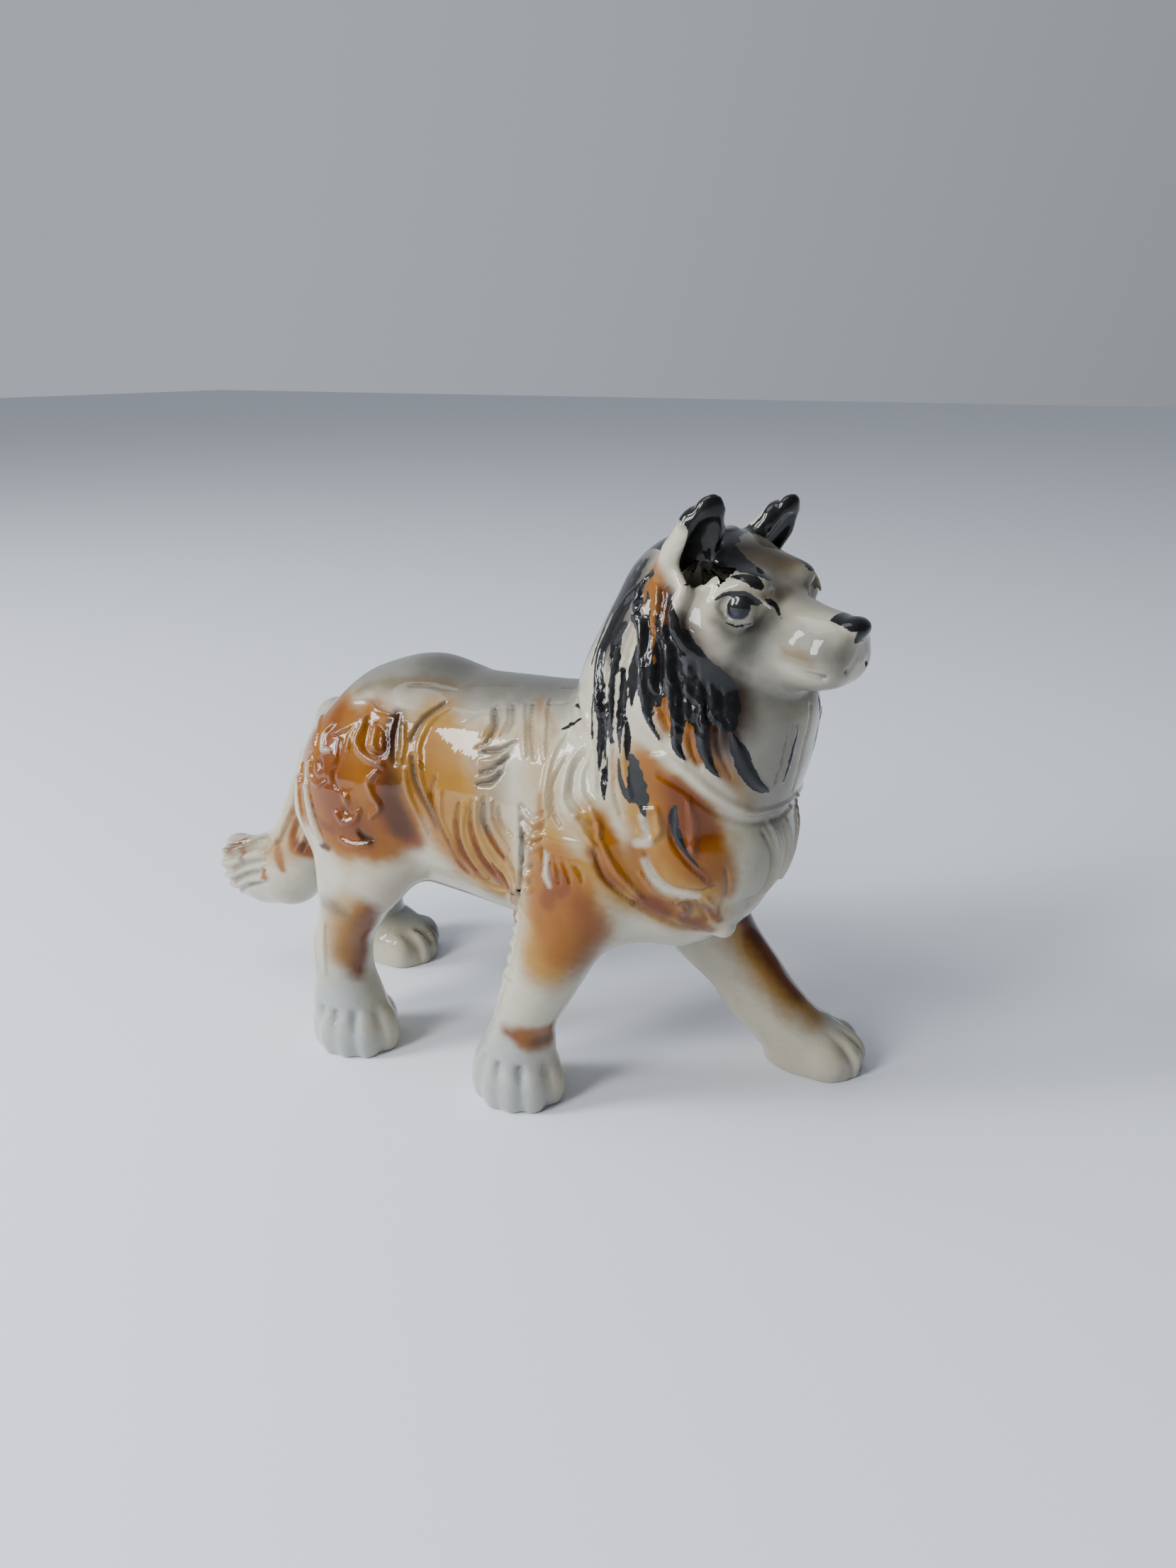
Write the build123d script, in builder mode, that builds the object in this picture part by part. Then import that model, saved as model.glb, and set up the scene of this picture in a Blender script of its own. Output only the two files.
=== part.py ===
"""Slip-cast porcelain figurine of a long-haired collie in mid stride.

The figurine is made as pottery of this kind is: hollow castings (the torso, the head with its ruff, four legs
and the tail) and two hand-pressed ears, trimmed flat where they meet and luted together with a layer of slip.
An air hole through each luted seat joins the cavities, and one hole in the belly lets the firing gases out.

Millimetres, +Z up. The dog faces -Y and its right side is towards -X. The soles stand on z = 0, and the
finished assembly is centred over the middle of its own bounding box.
"""

import os
from math import cos, radians, sin

from build123d import *

# ---- driving dimensions ---------------------------------------------------------------------------------
BODY_LENGTH = 125.0  # front of the chest to the back of the rump
BACK_HEIGHT = 94.0  # soles to the top of the back
BELLY_HEIGHT = 39.0  # soles to the underside of the chest
BODY_WIDTH = 51.0  # across the ribs
CHEST_Y = -68.5  # the front of the chest
WALL = 3.0  # cast wall of the torso and the head
LEG_WALL = 2.8  # cast wall of the legs and the tail
SLIP = 0.6  # layer of slip in a luted seam
AIR_HOLE_RADIUS = 2.2  # through each luted seat of a leg or the tail
NECK_HOLE_RADIUS = 5.0  # through the neck's seat
VENT_RADIUS = 2.0  # in the belly, to the outside

STANCE_WIDTH = 43.0  # between the soles' centres, side to side
LEG_RADIUS = 7.4  # of a leg above its paw
PAW_WIDTH = 19.4
PAW_LENGTH = 22.0

HEAD_TURN = 13.0  # degrees that the head looks to the dog's right
HEAD_LENGTH = 40.0  # from the neck's axis to the nose
HEAD_WIDTH = 33.0  # across the cheeks
NECK_WIDTH = 47.0  # across the ruff
NECK_DEPTH = 51.0  # through the ruff, front to back
CROWN_HEIGHT = 128.4  # soles to the top of the skull
EAR_HEIGHT = 15.6  # along the ear, above its luted base
EAR_WIDTH = 10.0

TAIL_REACH = 38.0  # how far the tail goes past its root, front to back
TAIL_DROP = 42.0  # how far it comes down
TAIL_RADIUS = 9.2

# ---- sizes that follow from them --------------------------------------------------------------------------
BARREL = BACK_HEIGHT - BELLY_HEIGHT
LEG_TOP = BELLY_HEIGHT + 0.42 * BARREL
NECK_Y = CHEST_Y + 0.18 * BODY_LENGTH
NECK_BASE = BACK_HEIGHT - 7.5
HEAD_HALF = HEAD_WIDTH / 2
FAR = 220.0  # longer than anything in the figurine


def along(share):
    """The y of a place on the body, as a share of its length from the chest back."""
    return CHEST_Y + share * BODY_LENGTH


# ---- shapes that castings are lofted from -------------------------------------------------------------------
# Torso: share of the length, bottom and top as shares of the barrel's depth, width as a share of the ribs'.
TORSO_STATIONS = [
    (0.001, 0.44, 0.58, 0.16),
    (0.010, 0.33, 0.69, 0.38),
    (0.035, 0.20, 0.80, 0.60),
    (0.09, 0.07, 0.90, 0.82),
    (0.18, 0.00, 0.97, 0.97),
    (0.30, 0.00, 1.01, 1.02),
    (0.44, 0.03, 0.99, 1.00),
    (0.58, 0.08, 0.97, 0.93),
    (0.70, 0.10, 1.00, 0.93),
    (0.81, 0.11, 0.97, 0.95),
    (0.90, 0.16, 0.86, 0.83),
    (0.965, 0.27, 0.70, 0.58),
    (0.990, 0.36, 0.60, 0.36),
    (0.999, 0.43, 0.53, 0.16),
]

# Legs, from the top down: share of LEG_TOP, how far in from the foot's middle (share of half the stance), how
# far ahead of the foot's middle, half width and half length as multiples of the leg's radius.
FORE_TOP = [
    (1.00, 0.32, 15.5, 1.40, 1.80),
    (0.81, 0.15, 13.0, 1.28, 1.50),
]
RIGHT_FORE = FORE_TOP + [
    (0.61, 0.06, 9.5, 1.12, 1.25),
    (0.45, 0.02, 5.5, 1.05, 1.06),
    (0.32, 0.00, 2.5, 1.00, 1.00),
    (0.225, 0.00, 1.0, 1.12, 1.16),
]
LEFT_FORE = [
    (1.00, 0.30, -41.0, 1.40, 1.80),
    (0.81, 0.16, -35.0, 1.28, 1.62),
    (0.56, 0.08, -28.5, 1.10, 1.60),
    (0.42, 0.02, -23.0, 1.05, 1.60),
    (0.27, 0.00, -15.5, 1.05, 1.42),
    (0.20, 0.00, -11.5, 1.14, 1.55),
    (0.150, 0.00, -6.0, 1.20, 1.92),
]
RIGHT_HIND = [
    (1.32, 0.52, -2.0, 0.90, 1.50),
    (1.20, 0.42, -2.0, 1.28, 2.05),
    (1.02, 0.30, -1.0, 1.55, 2.45),
    (0.81, 0.14, 3.0, 1.32, 1.95),
    (0.67, 0.06, 3.0, 1.18, 1.52),
    (0.58, 0.02, 1.0, 1.05, 1.20),
    (0.45, 0.00, -1.5, 0.96, 1.02),
    (0.35, 0.00, -2.0, 0.96, 1.02),
    (0.225, 0.00, -0.8, 1.12, 1.20),
]
LEFT_HIND = [
    (1.32, 0.52, 18.0, 0.90, 1.50),
    (1.20, 0.42, 17.0, 1.28, 2.05),
    (1.02, 0.30, 15.0, 1.55, 2.40),
    (0.81, 0.16, 11.5, 1.32, 1.95),
    (0.65, 0.08, 4.5, 1.18, 1.50),
    (0.52, 0.04, -2.5, 1.04, 1.22),
    (0.45, 0.03, -5.5, 0.98, 1.10),
    (0.32, 0.01, -8.0, 0.98, 1.08),
    (0.21, 0.00, -8.5, 1.08, 1.10),
    (0.150, 0.00, -5.0, 1.18, 1.60),
]
# The paw below them, as multiples of half its width and half its length. It is ground flat at the sole.
PAW = [
    (0.13, 0.97, 0.97),
    (0.055, 1.00, 1.00),
    (0.00, 0.91, 0.91),
    (-0.06, 0.70, 0.70),
]
LONG_PAW = [
    (0.10, 0.98, 1.20),
    (0.055, 1.00, 1.06),
    (0.00, 0.91, 0.95),
    (-0.06, 0.70, 0.74),
]

# Tail: shares of its reach and of its drop, and its radii across and in the curve's plane.
TAIL_STATIONS = [
    (0.00, 0.00, 0.70, 0.72),
    (0.14, 0.28, 0.90, 0.84),
    (0.27, 0.60, 1.00, 0.98),
    (0.45, 0.90, 1.00, 1.04),
    (0.70, 1.01, 0.92, 1.00),
    (0.91, 1.02, 0.80, 0.92),
    (1.00, 1.02, 0.60, 0.74),
]

# Ruff, below the neck's base: depth as a share of the barrel's, the middle's place, the radii.
RUFF_ROOT_STATIONS = [
    (-0.518, 0.0, 3.0, 0.80, 0.68),
    (-0.381, 0.0, 1.0, 0.94, 0.84),
    (-0.168, 0.0, -0.5, 1.02, 0.97),
]

# Ruff and skull, above it: height as a share of the rise to the crown, and the same.
RUFF_STATIONS = [
    (0.03, 0.0, -0.5, 0.99, 1.00),
    (0.25, -0.2, -1.3, 0.92, 0.93),
    (0.47, -0.6, -2.0, 0.85, 0.80),
    (0.66, -1.2, -2.8, 0.77, 0.655),
    (0.83, -1.8, -4.0, 0.65, 0.51),
    (0.94, -2.2, -5.5, 0.44, 0.33),
    (1.00, -2.4, -6.3, 0.22, 0.16),
]

# Face: share of the head's length, height under the crown, half height, width as a share of the cheeks'.
FACE_STATIONS = [
    (0.22, 14.9, 13.2, 0.92),
    (0.36, 14.8, 13.8, 1.00),
    (0.52, 16.6, 12.6, 0.83),
    (0.66, 18.2, 10.6, 0.62),
    (0.81, 19.1, 8.2, 0.47),
    (0.93, 19.2, 6.3, 0.38),
    (0.985, 18.9, 4.4, 0.29),
    (1.00, 18.7, 2.2, 0.15),
]

# Ear: share of its height, half width and half thickness as shares of its width.
EAR_STATIONS = [
    (-0.30, 0.46, 0.42),
    (0.10, 0.50, 0.36),
    (0.45, 0.44, 0.27),
    (0.78, 0.29, 0.20),
    (0.97, 0.12, 0.11),
]


def graded(rows, count):
    """Evenly spaced rows on the smooth curve, without overshoot, through rows that start with their height."""
    rows = sorted(rows)
    heights = [row[0] for row in rows]
    last = len(rows) - 1

    def tangents(column):
        slopes = [(rows[i + 1][column] - rows[i][column]) / (heights[i + 1] - heights[i]) for i in range(last)]
        inner = [0.0 if a * b <= 0 else 2 * a * b / (a + b) for a, b in zip(slopes[:-1], slopes[1:])]
        return [slopes[0]] + inner + [slopes[-1]]

    tangent = [None] + [tangents(column) for column in range(1, len(rows[0]))]
    result = []
    for step in range(count):
        height = heights[0] + (heights[-1] - heights[0]) * step / (count - 1)
        i = max(k for k in range(last) if heights[k] <= height + 1e-9)
        gap = heights[i + 1] - heights[i]
        t = (height - heights[i]) / gap
        row = [height]
        for column in range(1, len(rows[0])):
            m, n = tangent[column][i] * gap, tangent[column][i + 1] * gap
            row.append(
                rows[i][column] * (1 + 2 * t) * (1 - t) ** 2
                + m * t * (1 - t) ** 2
                + rows[i + 1][column] * t * t * (3 - 2 * t)
                + n * t * t * (t - 1)
            )
        result.append(row)
    return result


def barrel_loft(inset=0.0):
    """The torso's outer shape, or its cavity when inset is the wall: ellipses standing across the body."""
    with BuildPart() as barrel:
        for share, low, high, wide in TORSO_STATIONS:
            half_height = (high - low) * BARREL / 2 - inset
            half_width = wide * BODY_WIDTH / 2 - inset
            if min(half_height, half_width) > inset:
                middle = BELLY_HEIGHT + (high + low) * BARREL / 2
                with BuildSketch(Plane((0, along(share), middle), x_dir=(1, 0, 0), z_dir=(0, -1, 0))):
                    Ellipse(half_width, half_height)
        loft()
    return barrel.part


def level_loft(rows, inset=0.0, count=25):
    """A casting whose sections lie level. Each row is z, x, y, half width, half length."""
    with BuildPart() as casting:
        for z, x, y, half_width, half_length in graded(rows, count):
            with BuildSketch(Plane.XY.offset(z)):
                with Locations((x, y)):
                    Ellipse(half_width - inset, half_length - inset)
        loft()
    return casting.part


def leg_rows(side, foot_share, spread, stations, paw):
    """A leg's level sections. side is -1 for the dog's right, and foot_share places the foot along the body."""
    half_stance = STANCE_WIDTH / 2 + spread
    foot_y = along(foot_share)
    upper = [
        (
            share * LEG_TOP,
            side * half_stance * (1 - inward),
            foot_y - ahead,
            wide * LEG_RADIUS,
            deep * LEG_RADIUS,
        )
        for share, inward, ahead, wide, deep in stations
    ]
    lower = [
        (share * LEG_TOP, side * half_stance, foot_y, wide * PAW_WIDTH / 2, deep * PAW_LENGTH / 2)
        for share, wide, deep in paw
    ]
    return upper + lower


def tail_loft(inset=0.0, last=None):
    """The tail's outer shape, or its cavity."""
    centres = [
        Vector(0, TAIL_ROOT_Y + reach * TAIL_REACH, TAIL_ROOT_Z - drop * TAIL_DROP)
        for reach, drop, _, _ in TAIL_STATIONS
    ]
    with BuildPart() as casting:
        for i, (_, _, across, deep) in enumerate(TAIL_STATIONS[:last]):
            run = centres[min(len(centres) - 1, i + 1)] - centres[max(0, i - 1)]
            with BuildSketch(Plane(centres[i], x_dir=(1, 0, 0), z_dir=run)):
                Ellipse(across * TAIL_RADIUS - inset, deep * TAIL_RADIUS - inset)
        loft()
    return casting.part


def in_head(forward, aside, height):
    """A point in the turned head: forward of the neck's axis, towards the dog's left, and its height."""
    return Vector(0, NECK_Y, height) + LOOK * forward + ASIDE * aside


def face_loft(inset=0.0, last=None):
    """The wedge of the face: upright ellipses from behind the cheeks to the nose."""
    with BuildPart() as face:
        for share, under, half_height, wide in FACE_STATIONS[:last]:
            centre = in_head(share * HEAD_LENGTH, 0, CROWN_HEIGHT - under)
            with BuildSketch(Plane(centre, x_dir=ASIDE, z_dir=LOOK)):
                Ellipse(wide * HEAD_HALF - inset, half_height - inset)
        loft()
    return face.part


def ear_loft(side):
    """An ear's blank, a cupped leaf that starts inside the skull, and the plane that it is luted at."""
    base = in_head(0.27 * HEAD_LENGTH, side * 0.72 * HEAD_HALF, CROWN_HEIGHT - 8.2)
    tip = in_head(0.375 * HEAD_LENGTH, side * 0.84 * HEAD_HALF, CROWN_HEIGHT - 8.2 + EAR_HEIGHT)
    rise = tip - base
    outward = (LOOK + ASIDE * side * 0.75).normalized()
    across = rise.cross(outward).normalized()
    cup = base + rise * 0.46 + outward * 0.30 * EAR_WIDTH
    with BuildPart() as leaf:
        for share, wide, deep in EAR_STATIONS:
            with BuildSketch(Plane(base + rise * share, x_dir=across, z_dir=rise)):
                Ellipse(wide * EAR_WIDTH, deep * EAR_WIDTH)
        loft()
        with BuildSketch(Plane(cup, x_dir=across, z_dir=rise)):
            Ellipse(0.27 * EAR_WIDTH, 0.16 * EAR_WIDTH)
        extrude(amount=0.30 * EAR_HEIGHT, both=True, mode=Mode.SUBTRACT)
    return leaf.part, Plane(base, x_dir=across, z_dir=rise)


def block(seat, thickness):
    """What lies beyond a seat's plane, or before it if the thickness is negative."""
    with BuildPart() as half:
        with BuildSketch(seat):
            Rectangle(FAR, FAR)
        extrude(amount=thickness)
    return half.part


def air_hole(seat, radius=AIR_HOLE_RADIUS):
    """The round hole through a luted seat, to both sides of its plane."""
    with BuildPart() as hole:
        with BuildSketch(seat.offset(-3 * WALL)):
            Circle(radius)
        extrude(amount=6 * WALL)
    return hole.part


# ---- blanks, cavities and seats -------------------------------------------------------------------------------
LOOK = Vector(-sin(radians(HEAD_TURN)), -cos(radians(HEAD_TURN)), 0)
ASIDE = Vector(cos(radians(HEAD_TURN)), -sin(radians(HEAD_TURN)), 0)
TAIL_ROOT_Y = along(0.93)
TAIL_ROOT_Z = BELLY_HEIGHT + 0.56 * BARREL


def leg_seat(rows, side, lean):
    """The plane a leg is luted at, a little under the section where it leaves the body."""
    z, x, y, _, _ = [row for row in rows if row[0] > 0.7 * LEG_TOP][-1]
    return Plane((x, y, z - 1.5), z_dir=(0.75 * side, lean, -1.0))


right_fore_rows = leg_rows(-1, 0.423, 0.0, RIGHT_FORE, PAW)
left_fore_rows = leg_rows(1, -0.036, 0.5, LEFT_FORE, LONG_PAW)
right_hind_rows = leg_rows(-1, 0.796, 0.5, RIGHT_HIND, PAW)
left_hind_rows = leg_rows(1, 0.930, 0.0, LEFT_HIND, LONG_PAW)
right_fore_seat = leg_seat(right_fore_rows, -1, 0.10)
left_fore_seat = leg_seat(left_fore_rows, 1, -0.35)
right_hind_seat = leg_seat(right_hind_rows, -1, 0.05)
left_hind_seat = leg_seat(left_hind_rows, 1, 0.25)
tail_seat = Plane((0, along(0.968), TAIL_ROOT_Z - 0.2 * TAIL_DROP), x_dir=(1, 0, 0), z_dir=(0, 1.0, -0.25))
neck_seat = Plane((0, NECK_Y, NECK_BASE - 2.5), x_dir=(1, 0, 0), z_dir=(0, -0.42, 1.0))

right_fore_blank = level_loft(right_fore_rows)
left_fore_blank = level_loft(left_fore_rows)
right_hind_blank = level_loft(right_hind_rows)
left_hind_blank = level_loft(left_hind_rows)
right_fore_cavity = level_loft(right_fore_rows[:5], LEG_WALL, 15)
left_fore_cavity = level_loft(left_fore_rows[:5], LEG_WALL, 15)
right_hind_cavity = level_loft(right_hind_rows[:8], LEG_WALL, 15)
left_hind_cavity = level_loft(left_hind_rows[:8], LEG_WALL, 15)
tail_blank = tail_loft()
tail_cavity = tail_loft(LEG_WALL, 6)

RUFF_RISE = CROWN_HEIGHT - NECK_BASE
ruff_levels = [(share * BARREL, *rest) for share, *rest in RUFF_ROOT_STATIONS]
ruff_levels += [(share * RUFF_RISE, *rest) for share, *rest in RUFF_STATIONS]
ruff_rows = [
    (NECK_BASE + level, x, NECK_Y + y, wide * NECK_WIDTH / 2, deep * NECK_DEPTH / 2)
    for level, x, y, wide, deep in ruff_levels
]
ruff_blank = level_loft(ruff_rows)
ruff_cavity = level_loft(ruff_rows[:-2], WALL)
face_blank = face_loft()
face_cavity = face_loft(WALL, 5)
right_ear_blank, right_ear_seat = ear_loft(-1)
left_ear_blank, left_ear_seat = ear_loft(1)
barrel = barrel_loft()
barrel_cavity = barrel_loft(WALL)

limbs = [
    (right_fore_blank, right_fore_seat, AIR_HOLE_RADIUS),
    (left_fore_blank, left_fore_seat, AIR_HOLE_RADIUS),
    (right_hind_blank, right_hind_seat, AIR_HOLE_RADIUS),
    (left_hind_blank, left_hind_seat, AIR_HOLE_RADIUS),
    (tail_blank, tail_seat, AIR_HOLE_RADIUS),
    (ruff_blank, neck_seat, NECK_HOLE_RADIUS),
]
beyond = [block(seat, FAR) for _, seat, _ in limbs]
before = [block(seat, -WALL) for _, seat, _ in limbs]
holes = [air_hole(seat, radius) for _, seat, radius in limbs]
pockets = []
stumps = []
floors = []
for (blank, _, _), far_side, near_side in zip(limbs, beyond, before):
    with BuildPart() as pocket:
        add(blank)
        add(far_side, mode=Mode.INTERSECT)
    with BuildPart() as stump:
        add(blank)
        add(far_side, mode=Mode.SUBTRACT)
    with BuildPart() as floor:
        add(blank)
        add(near_side, mode=Mode.INTERSECT)
    pockets.append(pocket.part)
    stumps.append(stump.part)
    floors.append(floor.part)

# ---- torso ------------------------------------------------------------------------------------------------------
with BuildPart() as hollow:
    add(barrel_cavity)
    for floor in floors:
        add(floor, mode=Mode.SUBTRACT)

with BuildPart() as torso_shell:
    add(barrel)
    for pocket in pockets:
        add(pocket, mode=Mode.SUBTRACT)
    for stump in stumps:
        add(stump)
    add(hollow.part, mode=Mode.SUBTRACT)
    for hole in holes:
        add(hole, mode=Mode.SUBTRACT)
    with BuildSketch(Plane.XY.offset(BELLY_HEIGHT - WALL)):
        with Locations((0, along(0.60))):
            Circle(VENT_RADIUS)
    extrude(amount=BARREL / 2, mode=Mode.SUBTRACT)
torso_shell.part.label = "torso_shell"


# ---- legs, tail, head: each trimmed clear of its slip, hollowed and drilled ---------------------------------------
def behind(seat):
    """What a casting loses at its seat: all before the outer face of the slip."""
    return block(seat.offset(SLIP), -FAR)


ground = block(Plane.XY, -FAR)

with BuildPart() as right_fore_leg:
    add(right_fore_blank)
    add(behind(right_fore_seat), mode=Mode.SUBTRACT)
    add(right_fore_cavity, mode=Mode.SUBTRACT)
    add(ground, mode=Mode.SUBTRACT)
right_fore_leg.part.label = "right_fore_leg"

with BuildPart() as left_fore_leg:
    add(left_fore_blank)
    add(behind(left_fore_seat), mode=Mode.SUBTRACT)
    add(left_fore_cavity, mode=Mode.SUBTRACT)
    add(ground, mode=Mode.SUBTRACT)
left_fore_leg.part.label = "left_fore_leg"

with BuildPart() as right_hind_leg:
    add(right_hind_blank)
    add(behind(right_hind_seat), mode=Mode.SUBTRACT)
    add(right_hind_cavity, mode=Mode.SUBTRACT)
    add(ground, mode=Mode.SUBTRACT)
right_hind_leg.part.label = "right_hind_leg"

with BuildPart() as left_hind_leg:
    add(left_hind_blank)
    add(behind(left_hind_seat), mode=Mode.SUBTRACT)
    add(left_hind_cavity, mode=Mode.SUBTRACT)
    add(ground, mode=Mode.SUBTRACT)
left_hind_leg.part.label = "left_hind_leg"

with BuildPart() as tail:
    add(tail_blank)
    add(behind(tail_seat), mode=Mode.SUBTRACT)
    add(tail_cavity, mode=Mode.SUBTRACT)
tail.part.label = "tail"

with BuildPart() as head_hollow:
    add(ruff_cavity)
    add(face_cavity)

right_ear_pocket = block(right_ear_seat, FAR)
left_ear_pocket = block(left_ear_seat, FAR)
with BuildPart() as right_ear_socket:
    add(right_ear_blank)
    add(right_ear_pocket, mode=Mode.INTERSECT)
with BuildPart() as left_ear_socket:
    add(left_ear_blank)
    add(left_ear_pocket, mode=Mode.INTERSECT)

with BuildPart() as head_shell:
    add(ruff_blank)
    add(face_blank)
    add(behind(neck_seat), mode=Mode.SUBTRACT)
    add(head_hollow.part, mode=Mode.SUBTRACT)
    add(right_ear_socket.part, mode=Mode.SUBTRACT)
    add(left_ear_socket.part, mode=Mode.SUBTRACT)
head_shell.part.label = "head_shell"

with BuildPart() as right_ear:
    add(right_ear_blank)
    add(behind(right_ear_seat), mode=Mode.SUBTRACT)
right_ear.part.label = "right_ear"

with BuildPart() as left_ear:
    add(left_ear_blank)
    add(behind(left_ear_seat), mode=Mode.SUBTRACT)
left_ear.part.label = "left_ear"

# ---- the layers of slip that lute the seats -----------------------------------------------------------------------
with BuildPart() as right_fore_slip_joint:
    add(right_fore_blank)
    add(block(right_fore_seat, SLIP), mode=Mode.INTERSECT)
    add(holes[0], mode=Mode.SUBTRACT)
right_fore_slip_joint.part.label = "right_fore_slip_joint"

with BuildPart() as left_fore_slip_joint:
    add(left_fore_blank)
    add(block(left_fore_seat, SLIP), mode=Mode.INTERSECT)
    add(holes[1], mode=Mode.SUBTRACT)
left_fore_slip_joint.part.label = "left_fore_slip_joint"

with BuildPart() as right_hind_slip_joint:
    add(right_hind_blank)
    add(block(right_hind_seat, SLIP), mode=Mode.INTERSECT)
    add(holes[2], mode=Mode.SUBTRACT)
right_hind_slip_joint.part.label = "right_hind_slip_joint"

with BuildPart() as left_hind_slip_joint:
    add(left_hind_blank)
    add(block(left_hind_seat, SLIP), mode=Mode.INTERSECT)
    add(holes[3], mode=Mode.SUBTRACT)
left_hind_slip_joint.part.label = "left_hind_slip_joint"

with BuildPart() as tail_slip_joint:
    add(tail_blank)
    add(block(tail_seat, SLIP), mode=Mode.INTERSECT)
    add(holes[4], mode=Mode.SUBTRACT)
tail_slip_joint.part.label = "tail_slip_joint"

with BuildPart() as neck_slip_joint:
    add(ruff_blank)
    add(block(neck_seat, SLIP), mode=Mode.INTERSECT)
    add(holes[5], mode=Mode.SUBTRACT)
neck_slip_joint.part.label = "neck_slip_joint"

with BuildPart() as right_ear_slip_joint:
    add(right_ear_blank)
    add(block(right_ear_seat, SLIP), mode=Mode.INTERSECT)
right_ear_slip_joint.part.label = "right_ear_slip_joint"

with BuildPart() as left_ear_slip_joint:
    add(left_ear_blank)
    add(block(left_ear_seat, SLIP), mode=Mode.INTERSECT)
left_ear_slip_joint.part.label = "left_ear_slip_joint"

# ---- centre the assembly over its bounding box and write each piece ---------------------------------------------------
names = [
    torso_shell, head_shell, right_ear, left_ear, right_fore_leg, left_fore_leg, right_hind_leg, left_hind_leg, tail,
    right_fore_slip_joint, left_fore_slip_joint, right_hind_slip_joint, left_hind_slip_joint, tail_slip_joint,
    neck_slip_joint, right_ear_slip_joint, left_ear_slip_joint,
]
boxes = [name.part.bounding_box(optimal=True) for name in names]
low_x, high_x = min(box.min.X for box in boxes), max(box.max.X for box in boxes)
low_y, high_y = min(box.min.Y for box in boxes), max(box.max.Y for box in boxes)
low_z, high_z = min(box.min.Z for box in boxes), max(box.max.Z for box in boxes)
centring = Location((-(low_x + high_x) / 2, -(low_y + high_y) / 2, -low_z))

os.makedirs("parts", exist_ok=True)
for name in names:
    name.part.move(centring)
    export_step(name.part, f"parts/{name.part.label}.step")

print("moved by", -(low_x + high_x) / 2, -(low_y + high_y) / 2, -low_z)
print("size", high_x - low_x, high_y - low_y, high_z - low_z)
for name in names:
    print(name.part.label, len(name.part.solids()), round(name.part.volume, 1), name.part.is_valid)
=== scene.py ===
"""The collie figurine: sculpted, slip-cast, painted and glazed. The clay is measured in millimetres."""
import math

import bpy
import numpy as np
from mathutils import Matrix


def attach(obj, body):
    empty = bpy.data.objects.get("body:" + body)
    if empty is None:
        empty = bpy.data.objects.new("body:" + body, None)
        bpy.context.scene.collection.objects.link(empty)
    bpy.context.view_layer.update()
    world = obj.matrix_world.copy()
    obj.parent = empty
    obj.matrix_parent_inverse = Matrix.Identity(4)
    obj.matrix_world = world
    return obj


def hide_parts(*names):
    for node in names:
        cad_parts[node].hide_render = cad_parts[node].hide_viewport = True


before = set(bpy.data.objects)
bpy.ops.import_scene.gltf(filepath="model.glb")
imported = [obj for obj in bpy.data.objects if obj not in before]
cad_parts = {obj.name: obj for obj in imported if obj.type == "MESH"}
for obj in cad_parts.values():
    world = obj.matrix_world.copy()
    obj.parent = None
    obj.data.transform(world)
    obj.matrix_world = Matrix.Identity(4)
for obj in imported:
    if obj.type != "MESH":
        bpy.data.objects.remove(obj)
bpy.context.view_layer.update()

import openvdb
from mathutils import Vector
from mathutils.bvhtree import BVHTree

VOXEL = 0.5  # size of the sculpting grid
METRE = 1000  # millimetres in a metre


# -------------------- numbers and curves
def curve(rows, at):
    """Smooth values, without overshoot, at the places `at` through rows that start with their place."""
    rows = np.array(sorted(rows), float)
    x, y = rows[:, 0], rows[:, 1:]
    step = np.diff(x)
    slope = np.diff(y, axis=0) / step[:, None]
    tangent = np.zeros_like(y)
    a, b = slope[:-1], slope[1:]
    same = a * b > 0
    tangent[1:-1][same] = (2 * a * b / np.where(same, a + b, 1))[same]
    tangent[0], tangent[-1] = slope[0], slope[-1]
    at = np.clip(np.asarray(at, float), x[0], x[-1])
    i = np.clip(np.searchsorted(x, at, side="right") - 1, 0, len(x) - 2)
    h = step[i][..., None]
    t = ((at - x[i]) / step[i])[..., None]
    return (y[i] * (1 + 2 * t) * (1 - t) ** 2 + tangent[i] * h * t * (1 - t) ** 2
            + y[i + 1] * t * t * (3 - 2 * t) + tangent[i + 1] * h * t * t * (t - 1))


def smooth(edge0, edge1, v):
    """0 at edge0 and 1 at edge1, with a soft rise between them."""
    t = np.clip((v - edge0) / (edge1 - edge0), 0, 1)
    return t * t * (3 - 2 * t)


# -------------------- the clay
LOW = np.array([-38.0, -92.0, -3.0])
HIGH = np.array([38.0, 94.0, 141.0])
FAR_AWAY = 30.0  # the distance stored where there is no clay
AXES = [np.arange(LOW[i], HIGH[i], VOXEL, dtype=np.float32) for i in range(3)]


def oval(p, q, a, b, power):
    """About how far a place p, q from the middle is outside an oval with half widths a and b."""
    g = ((p / a) ** power + (q / b) ** power) ** (1 / power)
    slope = np.sqrt((p / a ** 2) ** 2 + (q / b ** 2) ** 2) / np.maximum(g, 0.05)
    return (g - 1) / np.maximum(slope, 1 / (2 * np.maximum(a, b)))


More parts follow.
